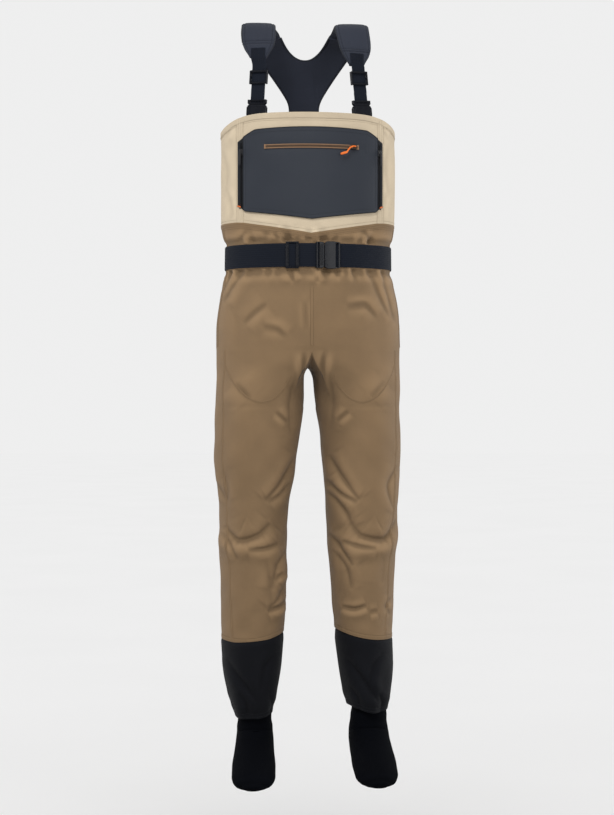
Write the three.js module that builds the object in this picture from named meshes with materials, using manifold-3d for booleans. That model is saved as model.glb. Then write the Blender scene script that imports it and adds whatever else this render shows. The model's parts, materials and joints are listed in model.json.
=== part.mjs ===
// Stocking-foot chest waders: bib, chest pocket, wading belt, legs, gravel guards and
// neoprene socks, hung from a padded shoulder harness with adjusters and buckles.
// Millimetres. +X is the wearer's left, -Y the front, +Z up. The origin lies midway between
// the shoulders, at the height of the pads' undersides.
import * as THREE from 'three';
import { mergeVertices } from 'three/addons/utils/BufferGeometryUtils.js';
import Module from 'manifold-3d';

const wasm = await Module();
wasm.setup();

// ---- driving dimensions ---------------------------------------------------------------
const GAP = 0.35; // air between neighbouring pieces
const SHELL = 2.5; // laminated shell fabric with lining and seam allowance
const NEOPRENE = 4;
const GUARD_CLOTH = 1.5;
const WEBBING = 1.4;

const BIB_TOP = -186; // hem at the centre front
const BIB_SIDE_DIP = 28; // the hem is lower under the arms
const BIB_SEAM = -402; // bib to trousers, at the sides
const BIB_SEAM_V = 25; // the seam drops to a shallow V at the front
const CROTCH = -695;
const BELT_MIDDLE = -470;
const BELT_HEIGHT = 47;

// Body ovals: height, half width, half depth, radius of the side arcs.
const BODY = [
  { z: -150, a: 176, b: 111, r: 81 },
  { z: -214, a: 178, b: 112, r: 82 },
  { z: -400, a: 177, b: 112, r: 82 },
  { z: -430, a: 171, b: 109, r: 80 },
  { z: -446, a: 163.5, b: 104.5, r: 77 },
  { z: -494, a: 163.5, b: 104.5, r: 77 },
  { z: -520, a: 172, b: 111, r: 80 },
  { z: -560, a: 181, b: 117, r: 84 },
  { z: -615, a: 187.5, b: 121, r: 88 },
  { z: -700, a: 189, b: 121, r: 90 },
];

// Leg ovals: height, distance from the middle plane, half width, depth offset, half depth.
const LEG = {
  left: [
    { z: -699, x: 96, w: 91, y: 0, d: 112 },
    { z: -760, x: 101, w: 86, y: 0, d: 102 },
    { z: -873, x: 109, w: 79, y: -2, d: 90 },
    { z: -960, x: 110, w: 74, y: -4, d: 82 },
    { z: -1046, x: 111, w: 70, y: 2, d: 76 },
    { z: -1160, x: 113, w: 63, y: 8, d: 72 },
    { z: -1247, x: 115, w: 58, y: 10, d: 66 },
  ],
  right: [
    { z: -699, x: 96, w: 92, y: 0, d: 112 },
    { z: -760, x: 99, w: 90, y: 0, d: 102 },
    { z: -873, x: 108, w: 84, y: -2, d: 90 },
    { z: -960, x: 111, w: 71, y: -4, d: 82 },
    { z: -1046, x: 113, w: 68, y: 2, d: 76 },
    { z: -1160, x: 113, w: 66, y: 8, d: 72 },
    { z: -1247, x: 114, w: 63, y: 10, d: 66 },
  ],
};
const HIP_BAND = { top: CROTCH - GAP, bottom: -800 }; // cloth that gives at the hip
const KNEE_BAND = { top: -940, bottom: -1060 }; // cloth that gives at the knee
const LEG_HEM = -1247;

const GUARD = {
  left: [
    { z: -1247, x: 115, w: 59, y: 10, d: 68 },
    { z: -1316, x: 120, w: 53, y: 8, d: 62 },
    { z: -1382, x: 122, w: 44, y: 6, d: 54 },
    { z: -1400, x: 123, w: 42, y: 6, d: 52 },
  ],
  right: [
    { z: -1247, x: 114, w: 64, y: 10, d: 70 },
    { z: -1316, x: 114, w: 57, y: 8, d: 62 },
    { z: -1382, x: 112, w: 46, y: 6, d: 54 },
    { z: -1408, x: 110, w: 42, y: 6, d: 52 },
  ],
};

// Sock: the leg of the sock inside the guard, then the foot, which hangs toes down.
const SOCK = {
  left: { ankle: 123, toe: 132 },
  right: { ankle: 110, toe: 121 },
};
const SOCK_TOP = -1252;
const SOCK_ANKLE = -1424;
const SOCK_CALF = { w: 50, y: 9, d: 56 };
const SOCK_NARROW = { z: -1390, w: 34.5, y: 7, d: 41 };
const SOCK_HEEL = { w: 36, y: 8, d: 42 };
const FOOT = [
  // forward position, height, tilt of the section, half width, half height
  { y: 8, z: -1428, tilt: 0, w: 36, h: 42 },
  { y: 4, z: -1444, tilt: 22, w: 38, h: 51 },
  { y: -12, z: -1459, tilt: 42, w: 39, h: 46 },
  { y: -45, z: -1473, tilt: 54, w: 41, h: 34 },
  { y: -90, z: -1490, tilt: 60, w: 44, h: 26 },
  { y: -125, z: -1503, tilt: 62, w: 44, h: 21 },
  { y: -150, z: -1512, tilt: 64, w: 36, h: 16 },
  { y: -161, z: -1516, tilt: 64, w: 22, h: 9 },
];

// Shoulder harness: x of the pad over the shoulder, of the adjuster and of the buckle.
const HARNESS = {
  left: { pad: 90, adjuster: 96, buckle: 104.5 },
  right: { pad: 101, adjuster: 103, buckle: 108.5 },
};
const PAD = { width: 70, thickness: 9 };
// Underside of a pad from its front end, over the flat on the shoulder, to its back end.
const PAD_LINE = [
  { y: -71, z: -93, width: 0.56 },
  { y: -69, z: -78, width: 0.8 },
  { y: -65, z: -60, width: 0.97 },
  { y: -53, z: -32, width: 1 },
  { y: -36, z: -9, width: 1 },
  { y: -18, z: 0, width: 1 },
  { y: 22, z: 0, width: 1 },
  { y: 35, z: -5, width: 1 },
];
const STRAP_LINE = { top: -94, bottom: -192 }; // straight run from the pad to behind the hem
// Places along a strap are measured down from its upper end.
const STRAP = {
  width: 30, yaw: 25, y: -75, drop: -1.2,
  start: 3, adjuster: 18, seam: 36, buckle: 63, inMale: 3.4, tabGap: 0.2, tab: 35,
};
// The yoke joins the backs of the pads and runs down over the middle of the back hem.
const YOKE = {
  thickness: 5, middle: 1, top: -9.5, neck: -47, neckWidth: 57, stem: 30, stemTop: -135,
  foot: -212,
};
// Height and depth of the yoke's inner face down the back.
const YOKE_LINE = [
  [-9, 37], [-26, 60], [-44, 74], [-70, 88], [-100, 100], [-140, 109], [-178, 112.8],
];
const ADJUSTER = { width: 38, height: 27, bar: 4, rail: 3.4, thickness: 2.2, clear: 1.05 };

const STRAP_BUCKLE = {
  width: 42, thickness: 9, wall: 1.7, depth: 19, length: 28, mouth: 36.4,
  base: 11, slot: 31, channel: 1.1, prong: 3.5, barb: 20.5, root: 11, tongue: 3.5,
};
const BELT_BUCKLE = {
  width: 54, thickness: 10, wall: 1.8, depth: 20, length: 31, mouth: 48,
  base: 17, slot: 48.5, channel: 2.4, prong: 4, barb: 26.4, root: 16.5, tongue: 5,
};
const PRONG_BARB = 14; // reach of the barb below the mouth of the socket

const POCKET = {
  half: 140.5, proud: 4, top: -216, shoulder: -219, corner: -239, low: -379, heel: -386.5,
  bottom: -399, shoulderAt: 0.75, heelAt: 0.947,
};
const CENTER_ZIP = { z: -254, from: -93.5, to: 94.5, height: 8, slider: 83.5 };
const SIDE_ZIP = { from: 141.5, to: 149.5, top: -244, bottom: -371, slider: -262, proud: 2 };
const ZIP_TAPE = 1.2;
const SLIDER = { long: 6, across: 4.5, deep: 3, bail: 5.4, bar: 1.2, legs: 4, wide: 1.5 };

const BELT = { off: 5.8, slider: -37.5, front: -23, mouth: 24.5, buckle: 31.5, inMale: 4, inSocket: 6 };
const BELT_SLIDER = { width: 53, height: 26, bar: 6, rail: 2.6, thickness: 2, clear: 1.5 };
const BELT_LOOP = { at: 0.36, half: 7, low: 0.6, off: 8, thickness: 1.4, clear: 3, foot: 11 };

// ---- solids from grids of points -------------------------------------------------------
const v3 = (x, y, z) => new THREE.Vector3(x, y, z);
const lerp = THREE.MathUtils.lerp;
const rad = THREE.MathUtils.degToRad;
const sides = ['left', 'right'];
const sign = { left: 1, right: -1 };

function solidGeometry(points, triangles) {
  const position = points.flatMap((p) => [p.x, p.y, p.z]);
  let volume = 0;
  for (const [i, j, k] of triangles) {
    volume += points[i].dot(points[j].clone().cross(points[k]));
  }
  const index = triangles.flatMap((t) => (volume < 0 ? [t[0], t[2], t[1]] : t));
  const geometry = new THREE.BufferGeometry();
  geometry.setAttribute('position', new THREE.Float32BufferAttribute(position, 3));
  geometry.setIndex(index);
  return geometry;
}

// A sheet with thickness: outer(u, v) and inner(u, v) are its two faces, u and v run 0 to 1.
// wrapped closes it into a tube around u.
function sheet(outer, inner, nu, nv, wrapped = false) {
  const columns = wrapped ? nu : nu + 1;
  const points = [];
  for (const face of [outer, inner]) {
    for (let j = 0; j <= nv; j += 1) {
      for (let i = 0; i < columns; i += 1) points.push(face(i / nu, j / nv));
    }
  }
  const layer = columns * (nv + 1);
  const at = (side, i, j) => side * layer + j * columns + (i % columns);
  const triangles = [];
  const quad = (a, b, c, d) => triangles.push([a, b, c], [a, c, d]);
  for (let j = 0; j < nv; j += 1) {
    for (let i = 0; i < nu; i += 1) {
      quad(at(0, i, j), at(0, i + 1, j), at(0, i + 1, j + 1), at(0, i, j + 1));
      quad(at(1, i, j), at(1, i, j + 1), at(1, i + 1, j + 1), at(1, i + 1, j));
    }
  }
  for (let i = 0; i < nu; i += 1) {
    quad(at(0, i, 0), at(1, i, 0), at(1, i + 1, 0), at(0, i + 1, 0));
    quad(at(0, i, nv), at(0, i + 1, nv), at(1, i + 1, nv), at(1, i, nv));
  }
  if (!wrapped) {
    for (let j = 0; j < nv; j += 1) {
      quad(at(0, 0, j), at(0, 0, j + 1), at(1, 0, j + 1), at(1, 0, j));
      quad(at(0, nu, j), at(1, nu, j), at(1, nu, j + 1), at(0, nu, j + 1));
    }
  }
  return solidGeometry(points, triangles);
}

// A cup: rings of outer and inner points joined at the first ring and closed at the last.
function cup(outerRings, innerRings) {
  const n = outerRings[0].length;
  const points = [];
  const triangles = [];
  const quad = (a, b, c, d) => triangles.push([a, b, c], [a, c, d]);
  [outerRings, innerRings].forEach((rings, inside) => {
    const start = points.length;
    rings.forEach((ring) => points.push(...ring));
    const last = rings[rings.length - 1];
    const tip = last.reduce((sum, p) => sum.add(p), v3(0, 0, 0)).divideScalar(n);
    points.push(tip);
    for (let j = 0; j + 1 < rings.length; j += 1) {
      for (let i = 0; i < n; i += 1) {
        const a = start + j * n + i;
        const b = start + j * n + ((i + 1) % n);
        if (inside) quad(a, a + n, b + n, b);
        else quad(a, b, b + n, a + n);
      }
    }
    const rim = start + (rings.length - 1) * n;
    for (let i = 0; i < n; i += 1) {
      const pair = [rim + i, rim + ((i + 1) % n)];
      triangles.push(inside ? [pair[1], pair[0], points.length - 1] : [...pair, points.length - 1]);
    }
  });
  const innerStart = outerRings.length * n + 1;
  for (let i = 0; i < n; i += 1) {
    const j = (i + 1) % n;
    quad(i, innerStart + i, innerStart + j, j);
  }
  return solidGeometry(points, triangles);
}

// ---- booleans ----------------------------------------------------------------------------
function toSolid(geometry) {
  const bare = geometry.clone();
  bare.deleteAttribute('normal');
  bare.deleteAttribute('uv');
  const merged = mergeVertices(bare, 1e-4);
  return new wasm.Manifold(new wasm.Mesh({
    numProp: 3,
    vertProperties: new Float32Array(merged.attributes.position.array),
    triVerts: new Uint32Array(merged.index.array),
  }));
}

function toGeometry(solid) {
  const mesh = solid.getMesh();
  const geometry = new THREE.BufferGeometry();
  geometry.setAttribute('position', new THREE.Float32BufferAttribute(mesh.vertProperties, 3));
  geometry.setIndex(Array.from(mesh.triVerts));
  return geometry;
}

// A box from its lowest to its highest corner.
function block(low, high) {
  const size = high.map((h, i) => h - low[i]);
  const middle = high.map((h, i) => (h + low[i]) / 2);
  return new THREE.BoxGeometry(...size).translate(...middle);
}

function join(geometries) {
  return geometries.map(toSolid).reduce((a, b) => a.add(b));
}

function build(added, cut = []) {
  let solid = join(added);
  for (const geometry of cut) solid = solid.subtract(toSolid(geometry));
  return toGeometry(solid);
}

// An outline in x and z, given thickness along y.
function plate(outline, y0, y1) {
  const shape = new THREE.Shape(outline.map(([x, z]) => new THREE.Vector2(x, z)));
  const geometry = new THREE.ExtrudeGeometry(shape, { depth: y1 - y0, bevelEnabled: false });
  return geometry.rotateX(Math.PI / 2).translate(0, y1, 0);
}

// ---- body sections -----------------------------------------------------------------------
function stationAt(stations, z) {
  const high = stations[0];
  const low = stations[stations.length - 1];
  if (z >= high.z) return high;
  if (z <= low.z) return low;
  const i = stations.findIndex((s) => s.z <= z);
  const t = (stations[i - 1].z - z) / (stations[i - 1].z - stations[i].z);
  const mixed = {};
  for (const key of Object.keys(high)) mixed[key] = lerp(stations[i - 1][key], stations[i][key], t);
  return mixed;
}

// Four-centre oval: flat arcs at the front and back, tight arcs at the sides.
function ovalArcs({ a, b, r }) {
  const c = a - r;
  const R = (c * c + b * b - r * r) / (2 * (b - r));
  const alpha = Math.atan2(c, R - b);
  return { c, R, alpha, front: R * alpha, side: r * (Math.PI / 2 - alpha) };
}

// A point on the body at height z. s is the distance along the oval from the centre front,
// towards the wearer's left; off is the distance out from the oval.
function bodyPoint(z, s, off) {
  const oval = stationAt(BODY, z);
  const { c, R, alpha, front, side } = ovalArcs(oval);
  const whole = 4 * (front + side);
  const mirror = ((s % whole) + whole) % whole > whole / 2 ? -1 : 1;
  let d = ((s % whole) + whole) % whole;
  if (mirror < 0) d = whole - d;
  const rear = d > whole / 4;
  if (rear) d = whole / 2 - d;
  let x;
  let y;
  if (d < front) {
    const angle = d / R;
    x = (R + off) * Math.sin(angle);
    y = R - oval.b - (R + off) * Math.cos(angle);
  } else {
    const angle = alpha + (d - front) / oval.r;
    x = c + (oval.r + off) * Math.sin(angle);
    y = -(oval.r + off) * Math.cos(angle);
  }
  return v3(mirror * x, rear ? -y : y, z);
}

const girth = (z) => {
  const { front, side } = ovalArcs(stationAt(BODY, z));
  return 4 * (front + side);
};

// A body panel between the fractions f0 and f1 of the girth, from the top edge to the bottom,
// with a row of points at each height in between.
function bodyPanel(f0, f1, top, bottom, nu, between) {
  const rows = between.length + 1;
  const face = (off) => (u, v) => {
    const f = lerp(f0, f1, u);
    const z = [top(f), ...between, bottom(f)][Math.round(v * rows)];
    return bodyPoint(z, f * girth(z), off);
  };
  return sheet(face(0), face(-SHELL), nu, rows);
}

// A piece lying on the body, measured in distance along the oval.
function bodyPatch(s0, s1, top, bottom, off0, off1, nu, nv) {
  const face = (off) => (u, v) => {
    const s = lerp(s0, s1, u);
    return bodyPoint(lerp(top(s), bottom(s), v), s, off);
  };
  return sheet(face(off1), face(off0), nu, nv);
}

// ---- materials ---------------------------------------------------------------------------
const material = {
  bib: () => new THREE.MeshStandardMaterial({ color: 0xc9b795, roughness: 0.85 }),
  shell: () => new THREE.MeshStandardMaterial({ color: 0x84704f, roughness: 0.85 }),
  pocket: () => new THREE.MeshStandardMaterial({ color: 0x383e48, roughness: 0.7 }),
  pad: () => new THREE.MeshStandardMaterial({ color: 0x33373f, roughness: 0.85 }),
  webbing: () => new THREE.MeshStandardMaterial({ color: 0x1e222b, roughness: 0.8 }),
  plastic: () => new THREE.MeshStandardMaterial({ color: 0x16181d, roughness: 0.4 }),
  guard: () => new THREE.MeshStandardMaterial({ color: 0x14171b, roughness: 0.85 }),
  neoprene: () => new THREE.MeshStandardMaterial({ color: 0x0d0f12, roughness: 0.9 }),
  zip: () => new THREE.MeshStandardMaterial({ color: 0x5b4634, roughness: 0.6 }),
  slider: () => new THREE.MeshStandardMaterial({ color: 0x3a2f28, roughness: 0.35, metalness: 0.8 }),
  pull: () => new THREE.MeshStandardMaterial({ color: 0xf05a1a, roughness: 0.6 }),
};

const waders = new THREE.Group();

function add(name, geometry, kind, parent = waders) {
  const mesh = new THREE.Mesh(geometry, material[kind]());
  mesh.name = name;
  parent.add(mesh);
  return mesh;
}

// A group turned so that its axes are across, into the cloth and along the piece.
function placed(origin, across, inward, along) {
  const group = new THREE.Group();
  group.quaternion.setFromRotationMatrix(new THREE.Matrix4().makeBasis(across, inward, along));
  group.position.copy(origin);
  waders.add(group);
  return group;
}

// ---- bib and trousers --------------------------------------------------------------------
const FRONT_EDGE = 0.163; // front panel to side panel, as a fraction of the girth
const SIDE_SEAM = 0.23; // front to back of the trousers
const SEAM_CUT = 0.0006; // half the gap at an upright seam

function hem(f) {
  const side = Math.sin(2 * Math.PI * f) ** 2; // 0 at front and back, 1 under the arm
  return BIB_TOP - BIB_SIDE_DIP * side ** 3;
}

function bibSeam(f) {
  const front = Math.max(0, 1 - Math.abs(f) / FRONT_EDGE);
  return BIB_SEAM - (f < FRONT_EDGE + 0.001 && f > -FRONT_EDGE - 0.001 ? BIB_SEAM_V * front : 0);
}

function addBody() {
  const lower = (f) => bibSeam(f) + GAP / 2;
  const panels = [
    ['bib_front', -FRONT_EDGE, FRONT_EDGE, 14],
    ['bib_side_left', FRONT_EDGE, 0.5 - FRONT_EDGE, 8],
    ['bib_back', 0.5 - FRONT_EDGE, 0.5 + FRONT_EDGE, 12],
    ['bib_side_right', 0.5 + FRONT_EDGE, 1 - FRONT_EDGE, 8],
  ];
  for (const [name, f0, f1, nu] of panels) {
    const geometry = bodyPanel(f0 + SEAM_CUT, f1 - SEAM_CUT, hem, lower, nu, [-240, -320, -400]);
    add(name, geometry, 'bib');
  }
  const upper = (f) => bibSeam(f) - GAP / 2;
  const crotch = () => CROTCH;
  const rows = BODY.slice(3, -1).map((station) => station.z);
  const [f0, f1] = [-SIDE_SEAM + SEAM_CUT, SIDE_SEAM - SEAM_CUT];
  add('trouser_front', bodyPanel(f0, f1, upper, crotch, 18, rows), 'shell');
  const [f2, f3] = [SIDE_SEAM + SEAM_CUT, 1 - SIDE_SEAM - SEAM_CUT];
  add('trouser_back', bodyPanel(f2, f3, upper, crotch, 18, rows), 'shell');
}

// ---- legs, gravel guards and socks ---------------------------------------------------------
function limbPoint(station, side, u, inset) {
  const angle = 2 * Math.PI * u;
  return v3(
    sign[side] * station.x + (station.w - inset) * Math.cos(angle),
    station.y + (station.d - inset) * Math.sin(angle),
    station.z,
  );
}

// A tube of cloth that follows a limb's stations from one height to another.
function limbTube(stations, side, top, bottom, inset, thickness, rows) {
  const face = (depth) => (u, v) => {
    const z = lerp(top, bottom, v);
    return limbPoint({ ...stationAt(stations, z), z }, side, u, depth);
  };
  return sheet(face(inset), face(inset + thickness), 20, rows, true);
}

function sockRing(side, section, inset) {
  const { ankle, toe } = SOCK[side];
  const forward = (FOOT[0].y - section.y) / (FOOT[0].y - FOOT[FOOT.length - 1].y);
  const x = sign[side] * lerp(ankle, toe, forward);
  const tilt = rad(section.tilt);
  const ring = [];
  const n = 20;
  for (let i = 0; i < n; i += 1) {
    const angle = (2 * Math.PI * i) / n;
    const across = Math.max(section.w - inset, 3) * Math.cos(angle);
    const along = Math.max(section.h - inset, 3) * Math.sin(angle);
    ring.push(v3(x + across, section.y + along * Math.cos(tilt), section.z - along * Math.sin(tilt)));
  }
  return ring;
}

function addLeg(side) {
  const leg = LEG[side];
  const bands = [
    [`hip_band_${side}`, HIP_BAND.top, HIP_BAND.bottom + GAP, 3],
    [`thigh_${side}`, HIP_BAND.bottom, KNEE_BAND.top + GAP, 3],
    [`knee_band_${side}`, KNEE_BAND.top, KNEE_BAND.bottom + GAP, 3],
    [`shin_${side}`, KNEE_BAND.bottom, LEG_HEM + GAP, 3],
  ];
  for (const [name, top, bottom, rows] of bands) {
    add(name, limbTube(leg, side, top, bottom, 0, SHELL, rows), 'shell');
  }
  const guard = GUARD[side];
  const hemZ = guard[guard.length - 1].z;
  add(`gravel_guard_${side}`, limbTube(guard, side, LEG_HEM, hemZ, 0, GUARD_CLOTH, 4), 'guard');

  const x = SOCK[side].ankle;
  const stations = [
    { ...SOCK_CALF, z: SOCK_TOP, x: guard[0].x }, { ...SOCK_NARROW, x },
    { ...SOCK_HEEL, z: SOCK_ANKLE, x },
  ];
  const sockLeg = limbTube(stations, side, SOCK_TOP, SOCK_ANKLE, 0, NEOPRENE, 4);
  add(`sock_leg_${side}`, sockLeg, 'neoprene');

  const outer = FOOT.map((section) => sockRing(side, section, 0));
  const inner = FOOT.slice(0, -1).map((section) => sockRing(side, section, NEOPRENE));
  add(`sock_foot_${side}`, cup(outer, inner), 'neoprene');
}

// ---- chest pocket and its zips ---------------------------------------------------------------
function addPocket() {
  const { half, top, shoulder, corner, low, heel, bottom, shoulderAt, heelAt, proud } = POCKET;
  // The outline rises from the side corners in a flat arch and falls to a V below.
  const upper = (s) => {
    const t = Math.abs(s) / half;
    if (t < shoulderAt) return lerp(top, shoulder, (t / shoulderAt) ** 2);
    return lerp(shoulder, corner, ((t - shoulderAt) / (1 - shoulderAt)) ** 1.15);
  };
  const lower = (s) => {
    const t = Math.abs(s) / half;
    if (t < heelAt) return lerp(bottom, heel, t / heelAt);
    return lerp(heel, low, (t - heelAt) / (1 - heelAt));
  };
  const panel = bodyPatch(-half, half, upper, lower, GAP, proud, 28, 2);
  add('chest_pocket', panel, 'pocket');

  const zip = CENTER_ZIP;
  const face = proud + GAP;
  const zipTop = () => zip.z + zip.height / 2;
  const zipLow = () => zip.z - zip.height / 2;
  const tape = bodyPatch(zip.from, zip.to, zipTop, zipLow, face, face + ZIP_TAPE, 16, 1);
  add('center_zip_tape', tape, 'zip');
  addSlider('center_zip', zip.slider, zip.z, face + ZIP_TAPE + GAP, true);

  for (const side of sides) {
    const s = sign[side];
    const { from, to } = SIDE_ZIP;
    const [s0, s1] = s > 0 ? [from, to] : [-to, -from];
    const { top: zipHead, bottom: zipFoot, slider, proud: tapeFace } = SIDE_ZIP;
    const sideTape = bodyPatch(s0, s1, () => zipHead, () => zipFoot, GAP, tapeFace, 2, 4);
    add(`side_zip_tape_${side}`, sideTape, 'webbing');
    addSlider(`side_zip_${side}`, (s * (from + to)) / 2, slider, tapeFace + GAP, false);
  }
}

// A zip slider with its bail, and the pull that hangs from the bail.
function addSlider(name, s, z, off, level) {
  const foot = bodyPoint(z, s, off);
  const out = bodyPoint(z, s, off + 1).sub(foot).normalize();
  const up = v3(0, 0, 1);
  const across = up.clone().cross(out).normalize();
  // x across the body, y into it, z up; a level zip's slider is turned a quarter turn
  const group = placed(foot, across, out.clone().negate(), up);
  const { long, across: broad, deep, bail, bar, legs, wide } = SLIDER;
  // a block given by its reach along the zip, out from the cloth, and across the zip
  const piece = (l0, l1, y0, y1, half) => (level
    ? block([l0, -y1, -half], [l1, -y0, half]) : block([-half, -y1, l0], [half, -y0, l1]));
  const inner = legs - bar - 0.2;
  const parts = [
    piece(-long, long, 0, deep, broad), piece(-legs, -inner, deep - 0.1, bail, wide),
    piece(inner, legs, deep - 0.1, bail, wide), piece(-legs, legs, bail - bar, bail, wide),
  ];
  add(`${name}_slider`, build(parts), level ? 'slider' : 'plastic', group);
  if (level) {
    // the cord pull lies back along the zip and droops below it
    const line = [[0.8, 0], [-10, -2.5], [-16, -10.5], [-30, -16]];
    add(`${name}_pull`, cordPull(line, -8.2, -5.75), 'pull', group);
  } else {
    add(`${name}_pull`, block([-2.4, -7.4, -26], [2.4, -5.8, 0.4]), 'plastic', group);
  }
}

// A flat cord along a line of points in x and z.
function cordPull(line, y0, y1) {
  const half = 1.9;
  const left = [];
  const right = [];
  line.forEach(([x, z], i) => {
    const before = line[Math.max(i - 1, 0)];
    const after = line[Math.min(i + 1, line.length - 1)];
    const length = Math.hypot(after[0] - before[0], after[1] - before[1]);
    const normal = [-(after[1] - before[1]) / length, (after[0] - before[0]) / length];
    left.push([x + normal[0] * half, z + normal[1] * half]);
    right.unshift([x - normal[0] * half, z - normal[1] * half]);
  });
  return plate([...left, ...right], y0, y1);
}

// ---- buckles -----------------------------------------------------------------------------
// Local axes: x across the webbing, y into the body, z along it, away from the socket.
// The mouth of the socket is at z = 0, and the webbing's middle plane at y = 0.
function socket(k) {
  const x = k.width / 2;
  const y = k.thickness / 2;
  const inner = y - k.wall;
  const outline = [
    [-x + 3, 0], [-x, -5], [-x, -k.depth + 1], [-x + 2, -k.length], [x - 2, -k.length],
    [x, -k.depth + 1], [x, -5], [x - 3, 0],
  ];
  const cavity = block([-k.mouth / 2, -inner, -k.depth], [k.mouth / 2, inner, 1]);
  const windows = block([-x - 1, -inner, -k.depth + 1.5], [x + 1, inner, -6.5]);
  const slot = block([-k.slot / 2, -y - 1, -k.length + 3.2], [k.slot / 2, y + 1, -k.depth - 2]);
  const channel = block(
    [-k.slot / 2, -k.channel, -k.length - 1], [k.slot / 2, k.channel, -k.depth - 3],
  );
  return build([plate(outline, -y, y)], [cavity, windows, slot, channel]);
}

function male(k) {
  const x = k.width / 2 - 1;
  const y = k.thickness / 2 - 1;
  const outline = [[-x + 3, GAP], [-x, 4], [-x, k.base], [x, k.base], [x, 4], [x - 3, GAP]];
  const tongue = block([-k.tongue, -1.7, -k.depth + 1.5], [k.tongue, 1.7, 2]);
  const slot = block([-k.slot / 2, -y - 1, k.base - 6.5], [k.slot / 2, y + 1, k.base - 3]);
  const channel = block([-k.slot / 2, -k.channel, k.base - 4], [k.slot / 2, k.channel, k.base + 1]);
  return build([plate(outline, -y, y), tongue], [slot, channel]);
}

function prong(k, hand) {
  const root = k.root;
  const outline = [
    [root - k.prong / 2, 0], [root + k.prong / 2, 0], [root + k.prong / 2 + 1.5, -6],
    [k.barb - 1.5, -8.5], [k.barb, -PRONG_BARB], [k.barb - 3, -k.depth + 1.8],
    [k.barb - 6.5, -k.depth + 1.8], [root + k.prong / 2, -9],
  ].map(([x, z]) => [hand * x, z]);
  return plate(outline, -1.8, 1.8);
}

function addBuckle(name, k, group, suffix) {
  add(`${name}_socket${suffix}`, socket(k), 'plastic', group);
  add(`${name}_male${suffix}`, male(k), 'plastic', group);
  add(`${name}_prong_a${suffix}`, prong(k, 1), 'plastic', group);
  add(`${name}_prong_b${suffix}`, prong(k, -1), 'plastic', group);
}

// A sliding adjuster: its outer bars lie over the webbing and its middle bar under it.
function adjuster({ width, height, bar, rail, thickness, clear }) {
  const x = width / 2;
  const z = height / 2;
  const far = clear + thickness;
  const rails = [-1, 1].map((s) => block(
    [s > 0 ? x - rail : -x, -far, -z], [s > 0 ? x : -x + rail, far, z],
  ));
  const bars = [-z, z - bar].map((low) => block([-x, -far, low], [x, -clear, low + bar]));
  const middle = block([-x, clear, -bar / 2], [x, far, bar / 2]);
  return build([...rails, ...bars, middle]);
}

// ---- shoulder harness ------------------------------------------------------------------------
// The straight run of a strap: its upper end, its direction and its turned axes.
function strapFrame(side) {
  const { adjuster: top, buckle } = HARNESS[side];
  const s = sign[side];
  const start = v3(s * top, STRAP.y, STRAP_LINE.top);
  const end = v3(s * buckle, STRAP.y + STRAP.drop, STRAP_LINE.bottom);
  const up = start.clone().sub(end).normalize();
  const yawed = v3(Math.cos(rad(STRAP.yaw)), s * Math.sin(rad(STRAP.yaw)), 0);
  const across = yawed.clone().addScaledVector(up, -yawed.dot(up)).normalize();
  const inward = up.clone().cross(across).normalize();
  return { start, end, up, across, inward };
}

function strapPoint(frame, along, x, y) {
  return frame.start.clone().addScaledVector(frame.up, -along)
    .addScaledVector(frame.across, x).addScaledVector(frame.inward, y);
}

function straightWebbing(frame, from, to) {
  const face = (y) => (u, v) => (
    strapPoint(frame, lerp(from, to, v), lerp(-STRAP.width, STRAP.width, u) / 2, y)
  );
  return sheet(face(-WEBBING / 2), face(WEBBING / 2), 1, 1);
}

// The face of a pad: v runs along PAD_LINE's points, u across, off out from the underside.
function padFace(side, off) {
  const steps = PAD_LINE.length - 1;
  const { pad, adjuster: low } = HARNESS[side];
  const s = sign[side];
  return (u, v) => {
    const i = Math.round(v * steps);
    const here = PAD_LINE[i];
    const before = PAD_LINE[Math.max(i - 1, 0)];
    const after = PAD_LINE[Math.min(i + 1, steps)];
    const level = here.z === 0; // the pad lies flat on top of the shoulder
    const along = level ? v3(0, 1, 0) : v3(0, after.y - before.y, after.z - before.z).normalize();
    const turn = here.y < 0 ? here.z / STRAP_LINE.top : 0;
    const yaw = s * rad(STRAP.yaw) * turn;
    const width = (u - 0.5) * PAD.width * here.width;
    return v3(
      s * lerp(pad, low, turn) + width * Math.cos(yaw) + along.z * off * Math.sin(yaw),
      here.y + width * Math.sin(yaw) - along.z * off * Math.cos(yaw),
      here.z + along.y * off,
    );
  };
}

function addHarness(side) {
  const pad = sheet(padFace(side, PAD.thickness), padFace(side, 0), 4, PAD_LINE.length - 1);
  add(`shoulder_pad_${side}`, pad, 'pad');

  const frame = strapFrame(side);
  const { start, seam, buckle: buckleTop, inMale, tabGap, tab } = STRAP;
  const mouth = buckleTop + STRAP_BUCKLE.base;
  const suffix = `_${side}`;
  add(`pad_webbing${suffix}`, straightWebbing(frame, start, seam), 'webbing');
  const fixed = straightWebbing(frame, seam + GAP, buckleTop + inMale);
  add(`strap_webbing${suffix}`, fixed, 'webbing');

  const middle = strapPoint(frame, STRAP.adjuster, 0, 0);
  const slide = placed(middle, frame.across, frame.inward, frame.up);
  add(`strap_adjuster${suffix}`, adjuster(ADJUSTER), 'plastic', slide);

  const buckle = placed(strapPoint(frame, mouth, 0, 0), frame.across, frame.inward, frame.up);
  addBuckle('strap_buckle', STRAP_BUCKLE, buckle, suffix);
  const tabTop = mouth + STRAP_BUCKLE.length + tabGap;
  add(`bib_tab${suffix}`, straightWebbing(frame, tabTop, tabTop + tab), 'webbing');
}

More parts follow.
